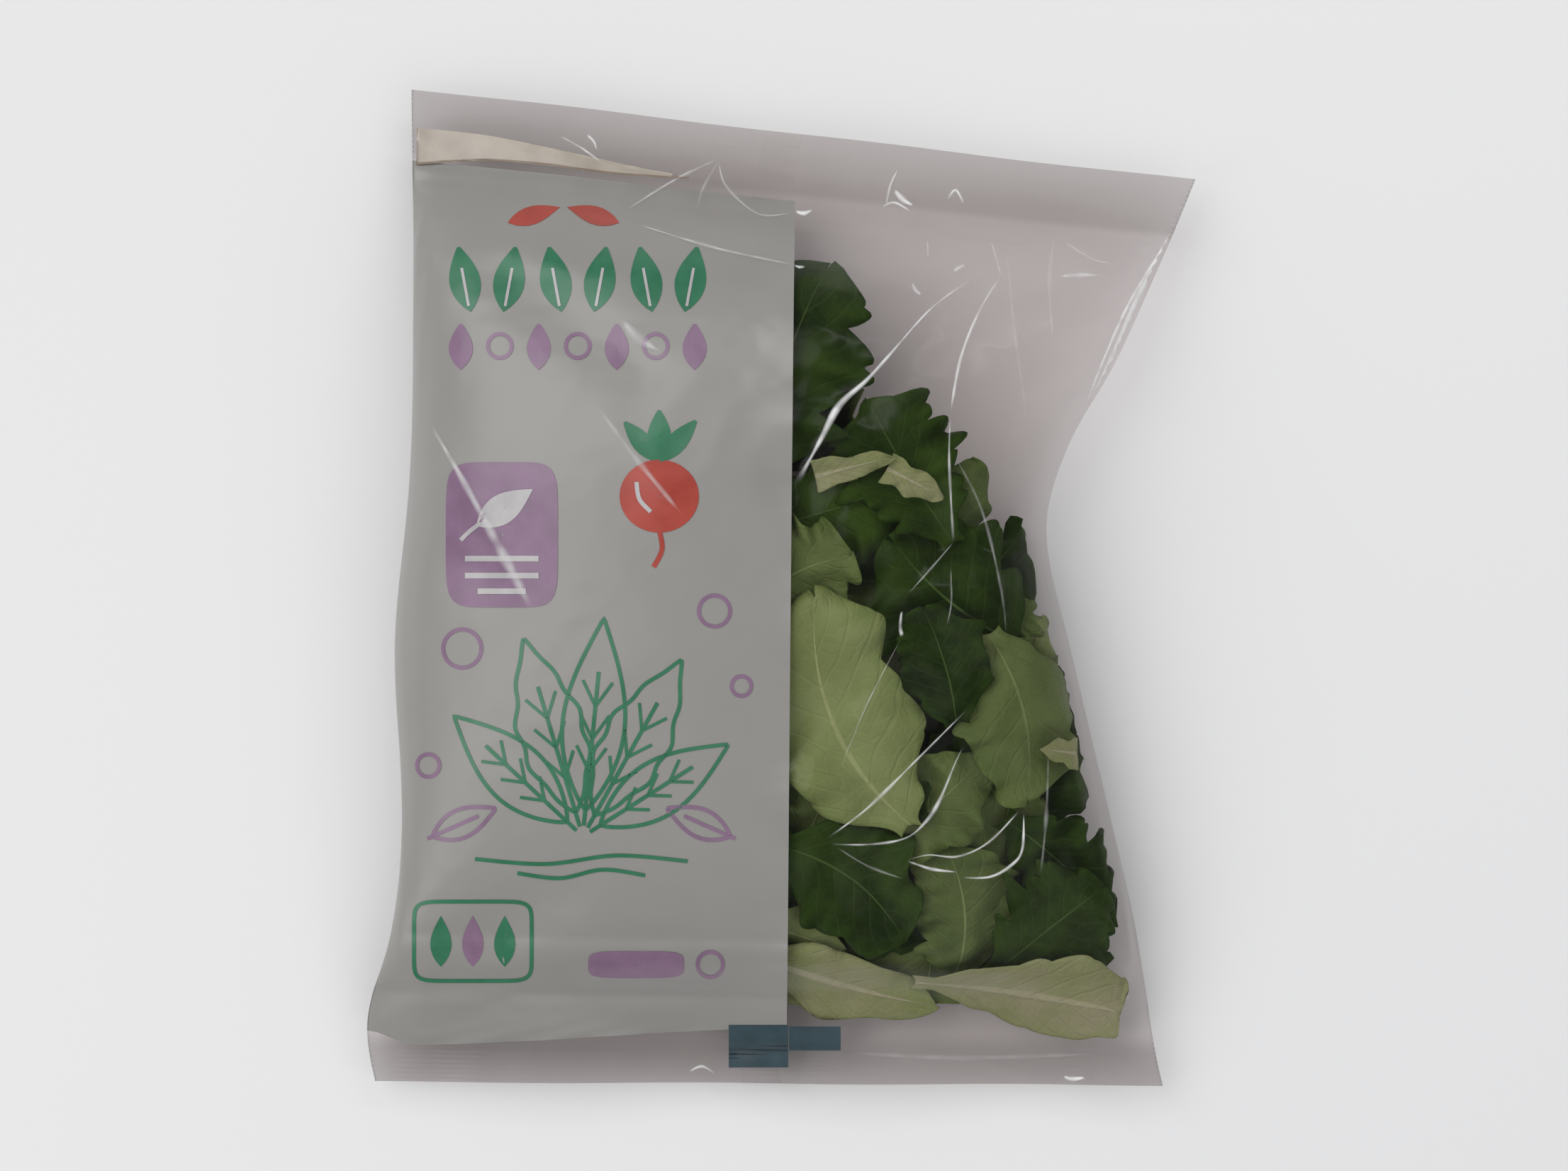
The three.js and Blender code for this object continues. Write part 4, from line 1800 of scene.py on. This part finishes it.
@dataclass
class Studio:
    """The pale floor and the soft lights."""

    floor_size: float = 6.0
    floor_colour: Colour = (0.86, 0.855, 0.85, 1.0)

    def floor(self) -> None:
        """Adds the floor."""
        deselect_all()
        bpy.ops.mesh.primitive_plane_add(size=self.floor_size, location=(0, 0, -0.0002))
        floor = bpy.context.object
        floor.name = "floor"
        made, nodes = new_material("floor")
        shader = nodes.add("BsdfPrincipled", {"Base Color": self.floor_colour, "Roughness": 0.85})
        nodes.surface(shader.outputs[0])
        floor.data.materials.append(made)

    def lamp(self, name: str, kind: str, place: tuple, energy: float) -> bpy.types.Light:
        """Adds a light that faces the bag.

        Args:
            name: The light's name.
            kind: Blender's name for its kind.
            place: Where it stands.
            energy: How strong it is.

        Returns:
            The light's own settings.
        """
        data = bpy.data.lights.new(name, kind)
        data.energy = energy
        lamp = bpy.data.objects.new(name, data)
        bpy.context.scene.collection.objects.link(lamp)
        lamp.location = place
        lamp.rotation_euler = Vector(place).to_track_quat("Z", "Y").to_euler()
        return data

    def strip(self, name: str, place: tuple, size: Point, power: float) -> None:
        """Adds a flat light.

        Args:
            name: The light's name.
            place: Where it stands.
            size: Its width and height.
            power: Its power in watts.
        """
        data = self.lamp(name, "AREA", place, power)
        data.shape = "RECTANGLE"
        data.size, data.size_y = size

    def sun(self, name: str, place: tuple, degrees: float, strength: float) -> None:
        """Adds a light that is far away and as wide as a bright part of the sky.

        Args:
            name: The light's name.
            place: The direction that it comes from.
            degrees: How wide it looks.
            strength: What it gives to a surface that faces it, in watts for each square metre.
        """
        self.lamp(name, "SUN", place, strength).angle = math.radians(degrees)

    def build(self) -> None:
        """Adds the floor, the lights and the pale surroundings."""
        self.floor()
        self.sun("key", (-0.85, 0.6, 1.2), 50.0, 1.38)
        self.sun("fill", (0.5, -0.7, 0.9), 60.0, 0.58)
        self.strip("strip_left", (-0.62, -0.25, 0.7), (0.012, 0.8), 1.2)
        self.strip("strip_top", (0.3, 0.66, 0.7), (0.8, 0.012), 1.2)
        world = bpy.data.worlds.new("studio")
        bpy.context.scene.world = world
        world.use_nodes = True
        back = world.node_tree.nodes["Background"]
        back.inputs["Color"].default_value = (0.93, 0.95, 1.0, 1.0)
        back.inputs["Strength"].default_value = 0.32
        bpy.context.scene.view_settings.view_transform = "Standard"


# Folds of the front film and their painted highlights: points, height, width, glint, band, swell. Rows with
# no height are painted highlights alone.
CREASES = (
    Crease(
        ((1375, 391), (1314, 435), (1253, 503), (1222, 537), (1184, 572), (1159, 618), (1123, 684)),
        2.2, 6, 1.0, 5.0, (0.5, 0.6, 0.7, 0.9, 1.1, 2.4, 2.0, 1.2, 2.0),
    ),
    Crease(((1412, 389), (1381, 440), (1355, 506), (1341, 583)), 1.4, 5, 0.75, 5.0, (0.6, 0.8, 1.2, 0.7)),
    Crease(((1341, 583), (1339, 650), (1345, 765)), 1.4, 5, 0.55, 4.0, (0.6, 1.0, 1.0)),
    Crease(((1345, 765), (1315, 800), (1281, 838)), 1.0, 4, 0.4, 4.0),
    Crease(((1272, 862), (1270, 885), (1273, 897)), 0.0, 4, 0.9, 6.0, (0.6, 1.3, 1.0)),
    Crease(((1273, 897), (1225, 990), (1183, 1089)), 0.8, 4, 0.3, 3.5),
    Crease(((1345, 640), (1385, 720), (1412, 830), (1420, 900)), 1.4, 6, 0.22, 6.0),
    Crease(((1341, 800), (1342, 850), (1335, 885)), 0.6, 3, 0.3, 4.0),
    Crease(((1365, 1000), (1290, 1075), (1225, 1139), (1168, 1182)), 1.8, 5, 0.7, 5.0, (0.5, 0.8, 1.2, 0.7)),
    Crease(
        ((1172, 1191), (1229, 1191), (1278, 1182), (1307, 1158), (1326, 1128), (1346, 1080), (1360, 1050)),
        1.4, 4, 0.65, 4.5, (0.6, 0.8, 1.0, 1.5, 1.0, 0.5),
    ),
    Crease(((1281, 1213), (1310, 1206), (1352, 1208), (1396, 1187), (1440, 1141)), 1.4, 4, 0.7, 5.0),
    Crease(((1281, 1215), (1315, 1226), (1350, 1230)), 1.0, 3, 0.9, 6.0),
    Crease(((1356, 1238), (1396, 1237), (1426, 1221), (1442, 1198), (1444, 1145)), 1.5, 3.5, 0.95, 6.0),
    Crease(((1180, 1195), (1225, 1222), (1275, 1240)), 0.8, 4, 0.25, 5.0),
    Crease(((1479, 1060), (1476, 1150), (1468, 1235)), 0.8, 4, 0.2, 6.0),
    Crease(
        ((1689, 262), (1660, 318), (1607, 415), (1570, 500), (1538, 563)),
        0.0, 3, 1.3, 8.0, (0.8, 1.2, 1.0, 0.6),
    ),
    Crease(
        ((1675, 280), (1640, 350), (1596, 422), (1560, 500), (1528, 580)),
        0.0, 3, 1.2, 5.0, (0.5, 1.0, 1.0, 0.5),
    ),
    Crease(((1250, 290), (1256, 262), (1266, 240)), 0.4, 3, 0.9, 6.0),
    Crease(((1262, 268), (1274, 282), (1288, 290)), 0.4, 3, 1.0, 9.0),
    Crease(((1244, 292), (1262, 286), (1284, 298)), 0.4, 3, 0.8, 6.0),
    Crease(((1337, 282), (1348, 268), (1360, 288)), 0.4, 3, 0.9, 7.0),
    Crease(((1122, 298), (1134, 301), (1146, 296)), 0.4, 3, 1.0, 10.0),
    Crease(((1120, 374), (1128, 377), (1136, 376)), 0.0, 3, 0.9, 7.0),
    Crease(((1495, 390), (1522, 388), (1551, 388)), 0.6, 5, 0.5, 9.0),
    Crease(((1345, 384), (1352, 378), (1362, 374)), 0.4, 3, 0.5, 8.0),
    Crease(((1286, 398), (1292, 410), (1300, 416)), 0.4, 3, 0.5, 9.0),
    Crease(((1308, 338), (1309, 352), (1309, 362)), 0.0, 3, 0.6, 4.0),
    Crease(((1398, 340), (1404, 360), (1412, 389)), 0.5, 3, 0.4, 4.0),
    Crease(((1488, 330), (1480, 400), (1486, 480)), 0.7, 6, 0.14, 8.0),
    Crease(((1420, 350), (1432, 470), (1450, 600)), 0.7, 7, 0.1, 8.0),
    Crease(((1500, 340), (1540, 365), (1570, 372)), 0.6, 4, 0.3, 4.0),
    Crease(((790, 192), (822, 210), (852, 232)), 0.6, 3, 0.7, 5.0),
    Crease(((828, 190), (838, 200), (842, 212)), 0.4, 3, 0.8, 5.0),
    Crease(((885, 296), (950, 255), (1014, 224)), 1.0, 4, 0.5, 6.0),
    Crease(((1014, 224), (1024, 262), (1070, 302), (1118, 300)), 0.9, 5, 0.4, 5.0),
    Crease(((1014, 226), (990, 270), (984, 300)), 0.6, 4, 0.25, 5.0),
    Crease(((898, 316), (1010, 350), (1122, 374)), 1.0, 4, 0.55, 5.0),
    Crease(((606, 596), (660, 690), (752, 862)), 0.9, 6, 0.5, 14.0, (0.3, 0.8, 1.2, 0.7)),
    Crease(((844, 575), (900, 650), (964, 728)), 0.8, 5, 0.3, 11.0),
    Crease(((878, 452), (902, 478), (932, 496)), 0.5, 5, 0.4, 18.0),
    Crease(((590, 228), (760, 218), (900, 240), (1000, 244)), -1.4, 6),
    Crease(((600, 250), (700, 244), (820, 262)), 0.9, 4),
    Crease(((972, 1512), (990, 1504), (1008, 1514)), 0.0, 3, 0.7, 6.0),
    Crease(((1500, 1518), (1512, 1522), (1530, 1520)), 0.0, 3, 0.9, 8.0),
    Crease(((1190, 1484), (1350, 1492), (1560, 1486)), 0.8, 6, 0.12, 10.0),
)

BROAD = LeafShape(
    lobes=2.4, lobe_depth=0.13, scallop=0.08, frill=3.5 * MM, waves=4, widest=0.55, roundness=0.55,
)
TOOTHED = LeafShape(lobes=3.6, lobe_depth=0.18, scallop=0.3, frill=5 * MM, waves=4.5, roundness=0.6)
FRILLED = LeafShape(
    lobes=3.2, lobe_depth=0.14, scallop=0.2, frill=6 * MM, waves=5, widest=0.6, roundness=0.6,
)
STEM = LeafShape(
    lobes=1.6, lobe_depth=0.1, scallop=0.04, frill=1.5 * MM, waves=2, rib=9 * MM, widest=0.5, bend=0.03,
)
FAN = LeafShape(
    lobes=2.5, lobe_depth=0.06, scallop=0.1, frill=2.5 * MM, waves=4, rib=4 * MM, widest=0.72,
    roundness=0.5, bend=0.02,
)
PLACED = (
    PlacedLeaf(LeafKind.DARK, (1058, 720), (1168, 376), 40, 3, 0.7, TOOTHED),
    PlacedLeaf(LeafKind.DARK, (1345, 765), (1225, 566), 32, 4, 0.3, TOOTHED),
    PlacedLeaf(LeafKind.CREAM, (1150, 672), (1262, 644), 6, 2.5, 0.7, STEM),
    PlacedLeaf(LeafKind.CREAM, (1252, 660), (1330, 702), 8, 3, 1.0, STEM),
    PlacedLeaf(LeafKind.DARK, (1090, 745), (1290, 690), 30, 5, 0.0, BROAD),
    PlacedLeaf(LeafKind.MID, (1350, 880), (1374, 648), 22, 7, 0.8, BROAD),
    PlacedLeaf(LeafKind.DARK, (1430, 905), (1262, 765), 44, 4, 0.7, BROAD),
    PlacedLeaf(LeafKind.MID, (1040, 868), (1200, 784), 30, 2.6, 0.1, FRILLED),
    PlacedLeaf(LeafKind.PALE, (1285, 1165), (1150, 842), 44, 2.2, 0.3, BROAD),
    PlacedLeaf(LeafKind.DARK, (1080, 1120), (1132, 900), 26, 2.2, 0.0, BROAD),
    PlacedLeaf(LeafKind.DARK, (1350, 1020), (1305, 862), 26, 2.4, 0.9, BROAD),
    PlacedLeaf(LeafKind.MID, (1395, 895), (1450, 1128), 34, 3, 0.1, BROAD),
    PlacedLeaf(LeafKind.MID, (1375, 965), (1452, 848), 20, 5, 0.9, FRILLED),
    PlacedLeaf(LeafKind.CREAM, (1525, 1065), (1470, 1058), 6, 2.5, 0.9, STEM),
    PlacedLeaf(LeafKind.MID, (1235, 1210), (1385, 1075), 26, 3.5, 0.4, BROAD),
    PlacedLeaf(LeafKind.DARK, (1212, 1090), (1305, 1160), 14, 2.5, 0.9, BROAD),
    PlacedLeaf(LeafKind.DARK, (1100, 1195), (1275, 1325), 34, 2.5, 0.7, BROAD),
    PlacedLeaf(LeafKind.MID, (1345, 1392), (1335, 1195), 32, 4.5, 1.0, FRILLED),
    PlacedLeaf(LeafKind.DARK, (1405, 1378), (1555, 1255), 32, 3, 0.4, TOOTHED),
    PlacedLeaf(LeafKind.DARK, (1420, 1160), (1575, 1310), 28, 5, 0.6, FRILLED),
    PlacedLeaf(LeafKind.CREAM, (1060, 1348), (1320, 1420), 20, 2.5, 0.9, STEM),
    PlacedLeaf(LeafKind.PALE, (1060, 1300), (1190, 1345), 16, 3, 0.6, STEM),
    PlacedLeaf(LeafKind.CREAM, (1292, 1388), (1614, 1434), 26, 0.6, 0.3, FAN),
    PlacedLeaf(LeafKind.MID, (1090, 1230), (1170, 1080), 26, 6, 0.9, TOOTHED),
    PlacedLeaf(LeafKind.MID, (1350, 1240), (1470, 1130), 24, 6, 0.6, FRILLED),
)


LEAF_FINISHES = {
    LeafKind.DARK: LeafFinish(
        "leaf_dark", (0.045, 0.088, 0.011, 1), (0.004, 0.013, 0.001, 1), (0.026, 0.058, 0.005, 1),
        (0.07, 0.12, 0.03, 1), 0.04, 7.0, 0.16, 0.05,
    ),
    LeafKind.MID: LeafFinish(
        "leaf_mid", (0.16, 0.21, 0.068, 1), (0.075, 0.115, 0.03, 1), (0.1, 0.15, 0.036, 1),
        (0.21, 0.27, 0.1, 1), 0.05, 7.0, 0.15,
    ),
    LeafKind.PALE: LeafFinish(
        "leaf_pale", (0.27, 0.33, 0.13, 1), (0.17, 0.22, 0.07, 1), (0.16, 0.22, 0.06, 1),
        (0.34, 0.39, 0.17, 1), 0.07, 7.0, 0.15,
    ),
    LeafKind.CREAM: LeafFinish(
        "leaf_cream", (0.36, 0.34, 0.22, 1), (0.24, 0.29, 0.1, 1), (0.26, 0.3, 0.12, 1),
        (0.42, 0.41, 0.26, 1), 0.2, 7.0, 0.2,
    ),
}
CLEAR_FILM = FilmFinish("film_clear", (0.9, 0.88, 0.88, 1.0), 0.01, 0.13, 0.05)
PRINTED_FILM = FilmFinish("film_printed", (0.292, 0.28, 0.26, 1.0), 1.0, 0.36, 0.06, bump=0.06)
FIN_FILM = FilmFinish("film_fin", (0.9, 0.88, 0.88, 1.0), 0.02, 0.15, 0.05, (0.975, 0.97, 0.968, 1.0))


def main() -> None:
    """Builds the bag, its leaves and the studio."""
    logging.basicConfig(level=logging.INFO, format="%(name)s %(message)s")
    PHOTO.add_camera()
    crinkle, veins = crinkle_group(), vein_group()
    tube = FilmTube(creases=CREASES)
    tube.build(CLEAR_FILM.material(crinkle), PRINTED_FILM.material(crinkle))
    FinSeam(tube).build(FIN_FILM.material(crinkle))
    surface = FilmSurface(tube)
    CreaseGlints(surface, CREASES).build(glint_material())
    Print(surface).build()
    finishes = {kind: finish.material(veins) for kind, finish in LEAF_FINISHES.items()}
    LeafHeap(surface, PLACED).build(finishes)
    Studio().build()


if __name__ == "__main__":
    main()
